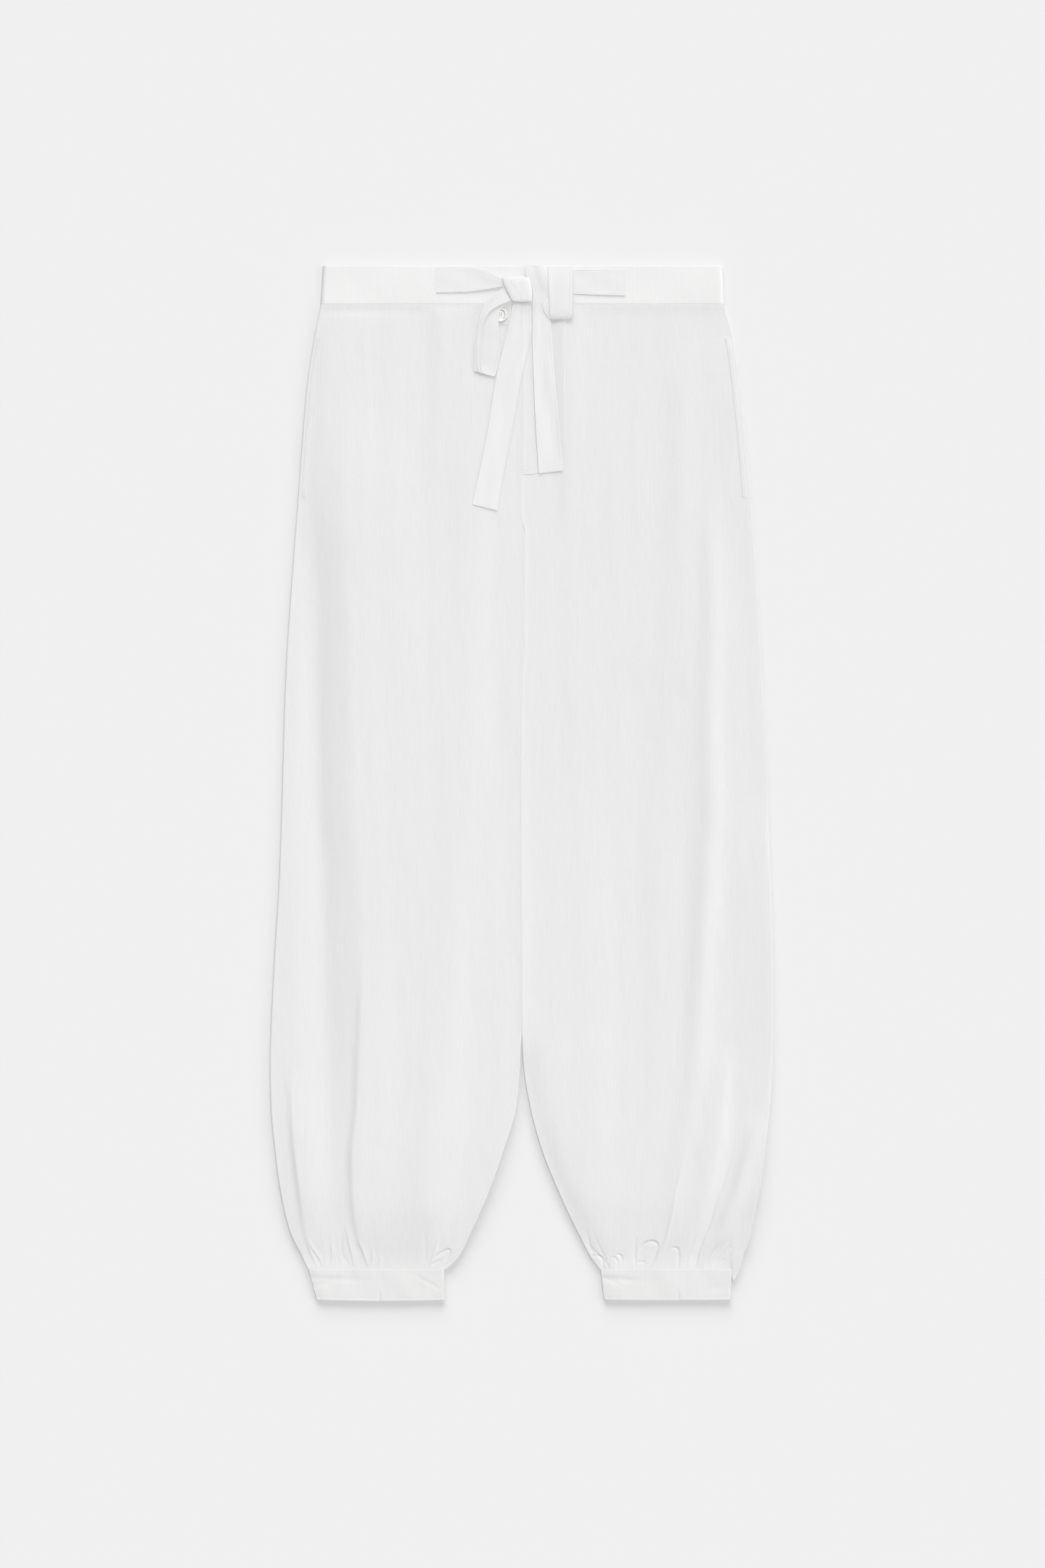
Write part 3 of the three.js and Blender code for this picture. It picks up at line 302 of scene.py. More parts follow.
def shares(count, evenness=0.55):
    """Shares of the way across, closer together near both ends."""
    k = np.linspace(0, 1, count + 1)
    return evenness * k + (1 - evenness) * (0.5 - 0.5 * np.cos(np.pi * k))


def spread(left, right, columns):
    """Places from a left to a right edge in each row."""
    return left[:, None] + (right - left)[:, None] * shares(columns)[None, :]


def smooth_path(path):
    """A path with more points, rounded at its corners."""
    points = np.array(path, float)
    length = np.concatenate([[0], np.cumsum(np.hypot(*np.diff(points[:, :2], axis=0).T))])
    at = np.linspace(0, length[-1], PATH_STEPS * (len(path) - 1) + 1)
    return np.stack([monotone(length, points[:, k], at) for k in range(3)], -1)


def beside(path, x, y):
    """How far each place is from a path, above 0 to the left of the way along it, and the path's height."""
    nearest = np.full(x.shape, np.inf)
    away, height = np.zeros(x.shape), np.zeros(x.shape)
    for (x0, y0, h0), (x1, y1, h1) in zip(path, path[1:]):
        dx, dy = x1 - x0, y1 - y0
        t = np.clip(((x - x0) * dx + (y - y0) * dy) / (dx * dx + dy * dy), 0, 1)
        off_x, off_y = x - x0 - t * dx, y - y0 - t * dy
        gap = np.hypot(off_x, off_y)
        closer = gap < nearest
        away[closer] = (gap * np.sign(dx * off_y - dy * off_x))[closer]
        height[closer] = (h0 + t * (h1 - h0))[closer]
        nearest = np.minimum(nearest, gap)
    return away, height


def seam_x(y):
    return from_table(SEAM, y)


class Leg:
    """One leg: its outline, as its CAD panel has it, and the lie of its cloth."""

    def __init__(self, side):
        self.side = side
        points = np.array([v.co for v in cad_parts["front_panel_" + side].data.vertices]) / MM
        rows = np.round(points[:, 1], 1)
        self.rows = np.unique(rows)
        self.lefts = np.array([points[rows == y, 0].min() for y in self.rows])
        self.rights = np.array([points[rows == y, 0].max() for y in self.rows])

    def edges(self, y):
        """x of the outline's two sides. Where the legs lie against each other their edges meet."""
        left, right = monotone(self.rows, self.lefts, y), monotone(self.rows, self.rights, y)
        meet = smoothstep(y, *LEGS_PART)
        if self.side == "left":
            return left, right + (seam_x(y) - SEAM_CLOSE - right) * meet
        return left + (seam_x(y) + SEAM_CLOSE - left) * meet, right

    def front_edges(self, y):
        """The front's own edges: its outer one stands a little inside the back's."""
        left, right = self.edges(y)
        inset = FRONT_INSET * smoothstep(y, CUFF_SEAM, CUFF_SEAM + INSET_REACH)
        return (left + inset, right) if self.side == "left" else (left, right - inset)

    def inside(self, x, edges):
        """How far each place lies inside the leg's outer and inner edge."""
        left, right = edges
        return (x - left, right - x) if self.side == "left" else (right - x, x - left)

    def across(self, x, y, edges):
        """How far the cloth has rounded over from its sides."""
        outer, inner = self.inside(x, edges)
        apart = 1 - smoothstep(y, *LEGS_PART) * (1 - SEAM_GROOVE)
        inner_side = rounded(np.maximum(inner, 0), from_table(INNER_ROUNDS, y) * SIDE_ROUND, SIDE_POWER)
        outer_side = rounded(np.maximum(outer, 0), from_table(OUTER_ROUNDS, y) * SIDE_ROUND, SIDE_POWER)
        return outer_side * (1 + (inner_side - 1) * apart * (1 - smoothstep(y, *LEGS_JOIN)))

    def folds(self, x, y):
        height = np.zeros_like(x)
        for fold in FOLDS[self.side]:
            path_x, path_y, heights = (np.array(values) for values in zip(*reversed(fold.path)))
            path = monotone(path_y, path_x, y)
            flank = np.where(x < path, fold.left, fold.right)
            begun = smoothstep(y, path_y[0] - FOLD_END, path_y[0])
            ended = smoothstep(y, path_y[-1], path_y[-1] + FOLD_END)
            height += monotone(path_y, heights, y) * bell(x - path, flank) * begun * (1 - ended)
        near_seam = smoothstep(y, CUFF_SEAM, CUFF_SEAM + SEAM_REACH)
        return height * (FOLDS_AT_SEAM + (1 - FOLDS_AT_SEAM) * near_seam)

    def gathers(self, x, y):
        height = np.zeros_like(x)
        near = y < CUFF_SEAM + CREASE_REACH
        for crease in CREASES[self.side]:
            away, size = beside(smooth_path(crease.path), x[near], y[near])
            flank = np.where(away > 0, crease.left, crease.right)
            height[near] += size * bell(away, flank)
        return height

    def swells(self, x, y):
        height = np.zeros_like(x)
        for k, (size, wide, long) in enumerate(SWELLS):
            turns = x / wide + SWELL_WANDER * np.sin(y / long)
            height += size * np.sin(2 * np.pi * turns + SWELL_SHIFT * k + SWELL_PHASES[self.side])
        return height * smoothstep(y, CUFF_SEAM, CUFF_SEAM + SWELL_REACH)

    def front(self, x, y):
        """The height of the front's outer face."""
        shape = self.across(x, y, self.front_edges(y))
        relief = self.folds(x, y) + self.gathers(x, y) + self.swells(x, y)
        height = np.maximum(LOWEST_FRONT, from_table(RISES, y) + relief * smoothstep(shape, *FOLDS_BEGIN))
        outer, seam = self.inside(x, self.edges(y))
        together = smoothstep(y, *LEGS_PART)
        outer_fall, inner_fall = EDGE_FALLS[self.side]
        shape = shape * (1 - outer_fall * bell(outer, EDGE_FALL_WIDTH))
        shape = shape * (1 - inner_fall * (1 - together) * bell(seam, EDGE_FALL_WIDTH))
        height = SIDE_SEAM_HEIGHT + (height - SIDE_SEAM_HEIGHT) * shape
        ridge, width = SEAM_RIDGE[self.side]
        height += ridge * bell(seam, width) * together
        full = smoothstep(shape, *BANDS_BEGIN)
        height += (CUFF_TOP - CUFF_STEP - height) * bell(y - CUFF_SEAM, BAND_BLEND, CUFF_BLEND_POWER) * full
        height += (WAISTBAND_TOP - WAIST_STEP - height) * bell(y - WAIST_SEAM, BAND_BLEND) * full
        return height - WAIST_CREASE * bell(y - WAIST_SEAM, WAIST_CREASE_WIDTH)

    def back(self, x, y):
        """The height of the face on the floor: flat, with sides that round up and gathers at the cuff."""
        left, right = self.edges(y)
        shape = self.across(x, y, (left, right))
        share = (x - left) / (right - left)
        up = np.maximum(y - CUFF_SEAM, 0)
        hollows = np.sin(share * 9 + y / 90) * np.sin(y / 130 + 3 * share)
        groove = BACK_HOLLOW * smoothstep(hollows, 0.2, 1)
        for i in range(BACK_GATHERS):
            at = (i + 0.5 + 0.3 * math.sin(5 * i + len(self.side))) / BACK_GATHERS
            reach = 20 + 14 * math.sin(3 * i + 1) ** 2
            deep = 1.3 + 0.5 * math.sin(7 * i)
            away = (share - at - (at - 0.5) * up / GATHER_LEAN) * (right - left)
            groove += deep * bell(away, GATHER_WIDTH) * bell(up, reach, GATHER_POWER)
        return (SIDE_SEAM_HEIGHT - GAP) * (1 - shape) + groove * smoothstep(shape, 0.8, 1)


legs = {side: Leg(side) for side in ("left", "right")}

# Waistband
WAIST_EDGES = {"left": (-199.6, -197.4), "right": (201.4, 200.2)}  # x at its seam and at its top
FLY_END = (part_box("waistband_front_left")[1].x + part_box("waistband_front_right")[0].x) / 2 / MM
WAIST_ROUND = 5
BAND_WAVE = 0.35
BAND_RIPPLE = 0.09
PRESSED_EDGE = 0.25  # how far a pressed edge lies below the cloth beside it


def waist_edge(side, y):
    at_seam, at_top = WAIST_EDGES[side]
    return at_seam + (at_top - at_seam) * (y - WAIST_SEAM) / (WAIST_TOP - WAIST_SEAM)


def inside_waistband(x, y):
    """How far each place lies inside the waistband's ends."""
    return np.maximum(np.minimum(x - waist_edge("left", y), waist_edge("right", y) - x), 0)


def waist_height(x, y):
    """The height of the waistband's front face, lower at its seam and its pressed top edge."""
    up = np.clip((y - WAIST_SEAM) / (WAIST_TOP - WAIST_SEAM), 0, 1)
    edge = np.minimum(rounded(y - WAIST_SEAM + 0.1, 0.9), rounded(WAIST_TOP - y, 0.8))
    wave = BAND_WAVE * np.sin(x / 23) * np.sin(np.pi * up)
    ripple = BAND_RIPPLE * np.sin(x / 7.3 + 2 * np.sin(x / 31)) * np.sin(np.pi * up) ** 2
    full = WAISTBAND_TOP - PRESSED_EDGE * (1 - edge) + wave + ripple
    return SIDE_SEAM_HEIGHT + (full - SIDE_SEAM_HEIGHT) * rounded(inside_waistband(x, y), WAIST_ROUND)


def cloth_top(x, y):
    """The height of whatever cloth lies on top at a place: waistband or front panel."""
    seam = seam_x(y)
    left = legs["left"].front(np.minimum(x, seam - SEAM_CLOSE), y)
    right = legs["right"].front(np.maximum(x, seam), y)
    band = waist_height(x, np.clip(y, WAIST_SEAM, WAIST_TOP))
    return np.where(y > WAIST_SEAM - GAP, band, np.where(x < seam, left, right))


SHARP_ANGLE = 48


def unit(vectors):
    return vectors / np.maximum(np.linalg.norm(vectors, axis=-1, keepdims=True), 1e-9)


def make_piece(name, points, faces, material):
    """A smooth-shaded mesh object from points in mm."""
    mesh = bpy.data.meshes.new(name)
    mesh.from_pydata((np.asarray(points) * MM).tolist(), [], faces)
    mesh.polygons.foreach_set("use_smooth", [True] * len(mesh.polygons))
    mesh.update()
    mesh.set_sharp_from_angle(angle=math.radians(SHARP_ANGLE))
    piece = bpy.data.objects.new(name, mesh)
    bpy.context.scene.collection.objects.link(piece)
    mesh.materials.append(material)
    return piece


def grid_faces(rows, columns, first, turned, closed):
    """The faces of a grid of points that starts at index first."""
    r, c = np.meshgrid(np.arange(rows - 1), np.arange(columns if closed else columns - 1), indexing="ij")
    right = (c + 1) % columns
    corners = [r * columns + c, r * columns + right, (r + 1) * columns + right, (r + 1) * columns + c]
    if turned:
        corners.reverse()
    return (first + np.stack(corners, -1).reshape(-1, 4)).tolist()


def rim_faces(outer, inner):
    """Faces that join an edge of the outer face to the same edge of the inner one, which may be coarser."""
    step = (len(outer) - 1) // (len(inner) - 1)
    return [
        [int(inner[k]), int(inner[k + 1]), *(int(v) for v in outer[k * step : (k + 1) * step + 1][::-1])]
        for k in range(len(inner) - 1)
    ]


def shell(name, outer, thickness, material, step=1, closed=False):
    """A wall of cloth with its outer face on a grid of points. Its inner face may have one point in step."""
    normals = unit(np.cross(slopes(outer, 1, closed), slopes(outer, 0, False)))
    inner = (outer - normals * thickness)[::step, ::step]
    rows, columns = outer.shape[:2]
    rows_in, columns_in = inner.shape[:2]
    first = rows * columns
    faces = grid_faces(rows, columns, 0, False, closed)
    faces += grid_faces(rows_in, columns_in, first, True, closed)
    number_out = np.arange(first).reshape(rows, columns)
    number_in = first + np.arange(rows_in * columns_in).reshape(rows_in, columns_in)
    if closed:
        number_out = np.hstack([number_out, number_out[:, :1]])
        number_in = np.hstack([number_in, number_in[:, :1]])
    faces += rim_faces(number_out[0], number_in[0])
    faces += rim_faces(number_out[-1][::-1], number_in[-1][::-1])
    if not closed:
        faces += rim_faces(number_out[::-1, 0], number_in[::-1, 0])
        faces += rim_faces(number_out[:, -1], number_in[:, -1])
    points = np.concatenate([outer.reshape(-1, 3), inner.reshape(-1, 3)])
    return make_piece(name, points, faces, material)


def slopes(points, axis, closed):
    """How points change along an axis of their grid."""
    if closed:
        return np.roll(points, -1, axis) - np.roll(points, 1, axis)
    return np.gradient(points, axis=axis)


# Materials


def new_material(name, values):
    """A material, with values set on its shader's own sockets."""
    material = bpy.data.materials.new(name)
    material.use_nodes = True
    shader = material.node_tree.nodes["Principled BSDF"]
    for socket, value in values.items():
        shader.inputs[socket].default_value = value
    return material, material.node_tree, shader


def node(tree, kind, output, inputs):
    """Adds a node with its inputs set or linked, and gives one of its outputs."""
    added = tree.nodes.new(kind)
    for socket, value in inputs.items():
        if isinstance(value, bpy.types.NodeSocket):
            tree.links.new(value, added.inputs[socket])
        else:
            added.inputs[socket].default_value = value
    return added.outputs[output]


def coordinates(tree, scale):
    """Object coordinates, scaled, for a texture."""
    place = node(tree, "ShaderNodeTexCoord", "Object", {})
    return node(tree, "ShaderNodeMapping", "Vector", {"Vector": place, "Scale": scale})


def noise(tree, scale, detail, roughness=0.5):
    values = {"Vector": coordinates(tree, scale), "Scale": 1, "Detail": detail, "Roughness": roughness}
    return node(tree, "ShaderNodeTexNoise", "Fac", values)


def bands(tree, direction, scale, distortion, detail=(2, 1)):
    """Bands across one direction, with the detail of their waviness and its scale."""
    values = {"Scale": scale, "Distortion": distortion, "Detail": detail[0], "Detail Scale": detail[1]}
    wave = node(tree, "ShaderNodeTexWave", "Fac", {"Vector": coordinates(tree, (1, 1, 1)), **values})
    wave.node.wave_type = "BANDS"
    wave.node.bands_direction = direction
    return wave


def threads(tree, direction, pitch):
    """Bands of thread in one direction, pitch mm apart."""
    return bands(tree, direction, 2 * math.pi / (20 * pitch * MM), 1.2, (1, 0.6))


def mixed(tree, kind, first, second):
    """Two values combined: ADD, MULTIPLY or MAXIMUM."""
    result = node(tree, "ShaderNodeMath", "Value", {0: first, 1: second})
    result.node.operation = kind
    return result


def bumped(tree, height, distance, normal=None):
    """A normal that follows a height in mm, on top of another normal."""
    values = {"Strength": 1, "Distance": distance * MM, "Height": height}
    if normal is not None:
        values["Normal"] = normal
    return node(tree, "ShaderNodeBump", "Normal", values)


def coloured(tree, value, dark, light, places=(0, 1)):
    """A colour between dark and light by a value, where places are the values of the two."""
    colour = node(tree, "ShaderNodeValToRGB", "Color", {"Fac": value})
    for stop, place, shade in zip(colour.node.color_ramp.elements, places, (dark, light)):
        stop.position = place
        stop.color = (*shade, 1)
    return colour


COTTON = {"Roughness": 0.88, "Specular IOR Level": 0.25, "Sheen Weight": 0.12, "Sheen Roughness": 0.6}
SLUBS = (900, 26, 900)  # how many in a metre along each axis
CLOUDS = (14, 5, 14)
CRUMPLE = (75, 30, 75)
SLUB_SHARE = 0.6
TONE_RANGE = (0.3, 0.7)
PITCH = 0.5
WEAVE_DEPTH = 0.05


def cloth_material(name, light, dark, slub, crumple):
    """Plain-woven cotton: threads both ways, slubs along the warp and the faint crumple of washed cloth."""
    material, tree, shader = new_material(name, COTTON)
    slubs = noise(tree, SLUBS, 2, 0.6)
    clouds = mixed(tree, "MULTIPLY", noise(tree, CLOUDS, 3), 1 - SLUB_SHARE)
    tone = mixed(tree, "ADD", mixed(tree, "MULTIPLY", slubs, SLUB_SHARE), clouds)
    tree.links.new(coloured(tree, tone, dark, light, TONE_RANGE), shader.inputs["Base Color"])
    weave = mixed(tree, "MAXIMUM", threads(tree, "X", PITCH), threads(tree, "Y", PITCH * 1.1))
    normal = bumped(tree, slubs, slub, bumped(tree, weave, WEAVE_DEPTH))
    normal = bumped(tree, noise(tree, CRUMPLE, 3, 0.55), crumple, normal)
    tree.links.new(normal, shader.inputs["Normal"])
    return material


def thread_material():
    finish = {"Base Color": (0.81, 0.81, 0.805, 1), "Roughness": 0.55, "Sheen Weight": 0.2}
    material, tree, shader = new_material("sewing_thread", finish)
    twist = bumped(tree, threads(tree, "DIAGONAL", 0.35), 0.06)
    tree.links.new(twist, shader.inputs["Normal"])
    return material


def button_material():
    """Pearly resin with soft, cloudy bands."""
    finish = {"Roughness": 0.28, "Coat Weight": 0.4, "Coat Roughness": 0.12}
    material, tree, shader = new_material("button_resin", finish)
    pearl = coloured(tree, bands(tree, "Y", 90, 0.8), (0.7, 0.695, 0.665), (0.8, 0.795, 0.775))
    tree.links.new(pearl, shader.inputs["Base Color"])
    return material


leg_cloth = cloth_material("leg_cotton", (0.811, 0.811, 0.81), (0.787, 0.787, 0.786), 0.1, 0.5)
band_cloth = cloth_material("band_cotton", (0.862, 0.862, 0.859), (0.84, 0.84, 0.837), 0.06, 0.35)
cuff_cloth = cloth_material("cuff_cotton", (0.806, 0.806, 0.803), (0.778, 0.778, 0.775), 0.06, 0.4)
tie_cloth = cloth_material("tie_cotton", (0.84, 0.84, 0.838), (0.816, 0.816, 0.814), 0.06, 0.3)
thread = thread_material()
resin = button_material()


def finish_cloth(piece, node):
    """Fits a piece of cloth to the frame: attaches it to the root body and hides the CAD part that it stands
    for.
    """
    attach(piece, "root")
    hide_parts(node)
    return piece


# Legs


# Heights over the cuffs' seam, and under the waist's, between which a panel's rows have their own spacing
ROW_STOPS = (45, 160)
ROWS_UNDER_WAIST = 14


def panel_rows(*counts):
    """Heights of a panel's rows, closest in the gathers and at the waist. The four counts are from below."""
    stops = [CUFF_SEAM + up for up in (SEAM_CLOSE, *ROW_STOPS)] + [WAIST_SEAM - ROWS_UNDER_WAIST]
    rows = [np.linspace(a, b, n, endpoint=False) for a, b, n in zip(stops, stops[1:], counts)]
    return np.concatenate([*rows, np.linspace(stops[-1], WAIST_SEAM - SEAM_CLOSE, counts[-1])])


def panel_points(edges, rows, columns, height):
    x = spread(*edges(rows), columns)
    y = np.repeat(rows[:, None], columns + 1, axis=1)
    return np.stack([x, y, height(x, y)], -1)


# Where the right leg's cloth hangs down beside the end of its cuff: how far, and x of the hanging edge
SAG = 17
SAG_HEIGHT = 24
SAG_FROM = (206.5, 210.5)
SAG_ROWS = (-470, -452)
SAG_WIDTH = 45
SAG_EDGE = {-498: 209.4, -495.7: 210.6, -491.4: 213.6, -485: 216.4, -479.2: 218.6, -469.1: 221,
            -457.9: 223.6}


def sagged(points, inset):
    """Lets the outer lower corner of the right leg hang down beside the cuff."""
    x, y = points[..., 0], points[..., 1]
    down = SAG * bell(y - CUFF_SEAM, SAG_HEIGHT)
    lowest = y[:, -1] - down[:, -1]
    shift = (from_table(SAG_EDGE, lowest) - inset - x[:, -1]) * (1 - smoothstep(lowest, *SAG_ROWS))
    moved = points.copy()
    moved[..., 0] = x + shift[:, None] * smoothstep(x, x[:, -1:] - SAG_WIDTH, x[:, -1:])
    moved[..., 1] = y - down * smoothstep(moved[..., 0], *SAG_FROM)
    return moved


FRONT_ROWS = (100, 44, 100, 17)
FRONT_COLUMNS = 280
BACK_ROWS = (40, 26, 60, 11)
BACK_COLUMNS = 120

for side, leg in legs.items():
    front = panel_points(leg.front_edges, panel_rows(*FRONT_ROWS), FRONT_COLUMNS, leg.front)
    back = panel_points(leg.edges, panel_rows(*BACK_ROWS), BACK_COLUMNS, leg.back)
    if side == "right":
        front = sagged(front, FRONT_INSET)
        back = sagged(back, 0)
    front = shell("front_" + side, front, LEG_CLOTH, leg_cloth, step=2)
    finish_cloth(front, "front_panel_" + side)
    back = shell("back_" + side, back[:, ::-1], LEG_CLOTH, leg_cloth, step=2)
    finish_cloth(back, "back_panel_" + side)


# Waistband

BAND_ROWS = 36
BAND_COLUMNS = 180
BAND_BACK_COLUMNS = 240
BAND_EVENNESS = 0.8


def waistband(name, left, right, columns, height, way=1):
    """One piece of the waistband between edges whose x goes by y. With way -1 it faces down."""
    y = WAIST_SEAM + (WAIST_TOP - WAIST_SEAM) * shares(BAND_ROWS)[:, None]
    x = left(y) + (right(y) - left(y)) * shares(columns, BAND_EVENNESS)[None, :]
    y = np.broadcast_to(y, x.shape)
    return shell(name, np.stack([x, y, height(x, y)], -1)[:, ::way], BAND_CLOTH, band_cloth, step=2)


def band_foot(x, y):
    return (SIDE_SEAM_HEIGHT - GAP) * (1 - rounded(inside_waistband(x, y), WAIST_ROUND))


def waist_left(y):
    return waist_edge("left", y)


def waist_right(y):
    return waist_edge("right", y)


band = waistband("waistband_left", waist_left, lambda y: FLY_END - GAP / 2, BAND_COLUMNS, waist_height)
finish_cloth(band, "waistband_front_left")
band = waistband("waistband_right", lambda y: FLY_END + GAP / 2, waist_right, BAND_COLUMNS, waist_height)
finish_cloth(band, "waistband_front_right")
band = waistband("waistband_rear", waist_left, waist_right, BAND_BACK_COLUMNS, band_foot, -1)
finish_cloth(band, "waistband_back")


# What lies on the panels

OVERLAY_LIFT = 0.08
OVERLAY_CLOTH = 0.35
OVERLAY_SHARE = 0.6  # of that thickness is wall, and as much again is what its soft edge rises
OVERLAY_EDGE = 0.8
OVERLAY_TOP = OVERLAY_LIFT + 2 * OVERLAY_SHARE * OVERLAY_CLOTH


def overlay(name, rows, left, right, columns, material, soft_left=OVERLAY_EDGE):
    """A layer on the cloth between two edges, with soft edges of its own."""
    left, right = np.broadcast_arrays(left, right, rows)[:2]
    x = spread(left, right, columns)
    y = np.repeat(rows[:, None], columns + 1, axis=1)
    edge = np.minimum(rounded(x - left[:, None], soft_left), rounded(right[:, None] - x, OVERLAY_EDGE))
    z = cloth_top(x, y) + OVERLAY_LIFT + OVERLAY_CLOTH * OVERLAY_SHARE * (1 + edge)
    return shell(name, np.stack([x, y, z], -1), OVERLAY_CLOTH * OVERLAY_SHARE, material)


FLY_LOW, FLY_HIGH = (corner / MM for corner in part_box("fly_placket"))
FLY_RIGHT = FLY_HIGH.x + 1.6
FLY_CURVE = 34  # how high the curve at its foot is
FLY_FOOT = 5  # how wide the fly is at its foot
FLY_FOOT_HIGH = 12  # its rows are closer together below here
FLY_STEEPEST = 0.985
FLY_ROWS = (20, 110)


def fly_edge(y):
    """The curved outer edge of the fly, which runs in to the centre seam at its foot."""
    down = np.clip((FLY_LOW.y + FLY_CURVE - y) / FLY_CURVE, 0, FLY_STEEPEST)
    start = FLY_LOW.x + FLY_FOOT
    return start + (FLY_RIGHT - start) * np.sqrt(1 - down**2)


fly_bend = FLY_LOW.y + FLY_FOOT_HIGH
fly_rows = np.concatenate([np.linspace(FLY_LOW.y, fly_bend, FLY_ROWS[0], endpoint=False),
                           np.linspace(fly_bend, FLY_HIGH.y, FLY_ROWS[1])])
fly = overlay("fly", fly_rows, FLY_LOW.x, fly_edge(fly_rows), 40, leg_cloth, soft_left=3)
finish_cloth(fly, "fly_placket")

POCKET_INSET = 4.4
POCKET_WIDTH = 4.6


def pocket_rows(side, margin, count):
    low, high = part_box("pocket_edge_" + side)
    return np.linspace(low.y / MM + margin, high.y / MM - margin, count)


def inward(side, rows, distance):
    """x of the places that lie so far inside a leg's outer edge."""
    left, right = legs[side].edges(rows)
    return left + distance if side == "left" else right - distance


for side in legs:
    rows = pocket_rows(side, 0, 120)
    edges = [inward(side, rows, distance) for distance in (POCKET_INSET, POCKET_INSET + POCKET_WIDTH)]
    if side == "right":
        edges.reverse()
    pocket = overlay("pocket_" + side, rows, *edges, 14, leg_cloth)
    finish_cloth(pocket, "pocket_edge_" + side)


# Cuffs

CUFF_ENDS = {  # x of each cuff's ends at its seam and at its hem
    "left": ((-212, -76.6), (-203.6, -76.8)),
    "right": ((77.8, 209), (81.6, 207.2)),
}
CUFF_STITCH = 3.2  # from the hem
CUFF_LAPS = {"left": -141, "right": 155.5}  # where a cuff's ends meet
LAP_WIDTH = 1.6
LAP_DEPTH = 0.4
LAP_TOP = 0.45  # as a share of the way up
LAP_FADE = 0.3
CUFF_CLOTH = 1.4
CUFF_ROUND = 1.8  # how wide a cuff's ends round over
CUFF_SQUARENESS = 0.6
CUFF_SAG = 1.3
CUFF_SAGS = {"left": 1, "right": 0.4}  # the share of it by which a hem's middle hangs below its ends
CUFF_HEIGHT = 31
CUFF_WAVES = [(0.3, 11, 0), (0.12, 4.7, 3)]  # height, length and how far they lean
CUFF_GROOVE = 0.2
CUFF_GROOVE_WIDTH = 0.5
CUFF_END_FALLS = ((0.7, 6), (-0.2, 5))  # how far a cuff falls to its left and right end, and how widely
CUFF_HEM_FALL = 0.4
CUFF_SEAM_FALL = 0.15
CUFF_ROWS = 30
CUFF_COLUMNS = 200
CUFF_TURN = 16
# Faint drags across the cuffs. At and up are shares of the way along and up.
Drag = namedtuple("Drag", "at up slant half reach depth")
CUFF_DRAGS = {
    "left": [
        Drag(0.13, 0.7, -0.1, 2.8, 0.26, 0.5),
        Drag(0.06, 0.52, 0.9, 3, 0.09, 0.6),
        Drag(0.9, 0.56, -2.2, 2, 0.09, 0.35),
    ],
    "right": [
        Drag(0.12, 0.68, -0.25, 2.6, 0.16, 0.55),
        Drag(0.07, 0.6, -1.2, 2.8, 0.06, 0.45),
        Drag(0.88, 0.4, 0.8, 4, 0.1, 0.3),
    ],
}


def cuff_face(side, x, y, t, along, left, right):
    """The height of a cuff's front: its waves, drags, stitched hem, pressed edges and ends."""
    soft = np.sin(np.pi * along) ** 0.5 * np.sin(np.pi * np.clip(t, 0, 1))
    wave = sum(height * np.sin(x / length + lean * t) for height, length, lean in CUFF_WAVES) * soft
    drags = sum(
        drag.depth * bell(t - drag.up - drag.slant * (along - drag.at), drag.half / CUFF_HEIGHT)
        * bell(along - drag.at, drag.reach)
        for drag in CUFF_DRAGS[side]
    )
    stitch = CUFF_GROOVE * bell(y - HEM - CUFF_STITCH, CUFF_GROOVE_WIDTH)
    fall = sum(deep * bell(x - end, wide) for end, (deep, wide) in zip((left, right), CUFF_END_FALLS))
    lap = LAP_DEPTH * bell(x - CUFF_LAPS[side], LAP_WIDTH) * smoothstep(LAP_TOP - t, 0, LAP_FADE)
    return CUFF_TOP + wave - drags - stitch - cuff_edges(y) - fall - lap


def cuff_edges(y):
    """How far a cuff's face falls to its hem and to its seam."""
    return CUFF_HEM_FALL * (1 - rounded(y - HEM, 1)) + CUFF_SEAM_FALL * (1 - rounded(CUFF_SEAM - y, 0.9))


def cuff_points(side):
    """Rows of a loop round the cuff: over the front from left to right, and back along the floor."""
    (seam_left, seam_right), (hem_left, hem_right) = CUFF_ENDS[side]
    y = HEM + (CUFF_SEAM - HEM) * shares(CUFF_ROWS)[:, None]
    t = (y - HEM) / (CUFF_SEAM - HEM)
    left = hem_left + (seam_left - hem_left) * t
    right = hem_right + (seam_right - hem_right) * t
    along = np.linspace(0, 1, CUFF_COLUMNS + 1)[None, :-1]
    turn = np.linspace(0, np.pi, CUFF_TURN + 1)[None, :-1]
    flat = right - left - 2 * CUFF_ROUND
    over_x = left + CUFF_ROUND + flat * along
    over_z = cuff_face(side, over_x, y, t, along, left, right)
    under_x = over_x[:, ::-1] + flat / CUFF_COLUMNS
    under_z = np.zeros_like(under_x) + 0.3 * cuff_edges(y)
    out = CUFF_ROUND * np.sin(turn) ** CUFF_SQUARENESS
    up = 0.5 + 0.5 * np.sign(np.cos(turn)) * np.abs(np.cos(turn)) ** CUFF_SQUARENESS
    right_z = under_z[:, :1] + (over_z[:, -1:] - under_z[:, :1]) * up
    left_z = over_z[:, :1] + (under_z[:, -1:] - over_z[:, :1]) * up
    x = np.hstack([over_x, right - CUFF_ROUND + out, under_x, left + CUFF_ROUND - out])
    z = np.hstack([over_z, right_z, under_z, left_z])
    sag = CUFF_SAG * np.sin(np.pi * (x - left) / (right - left)) ** 0.7 * (1 - t) * CUFF_SAGS[side]
    return np.stack([x, y - sag, z], -1)


for side in legs:
    cuff = shell("cuff_band_" + side, cuff_points(side), CUFF_CLOTH, cuff_cloth, closed=True)
    finish_cloth(cuff, "cuff_" + side)


# Tie

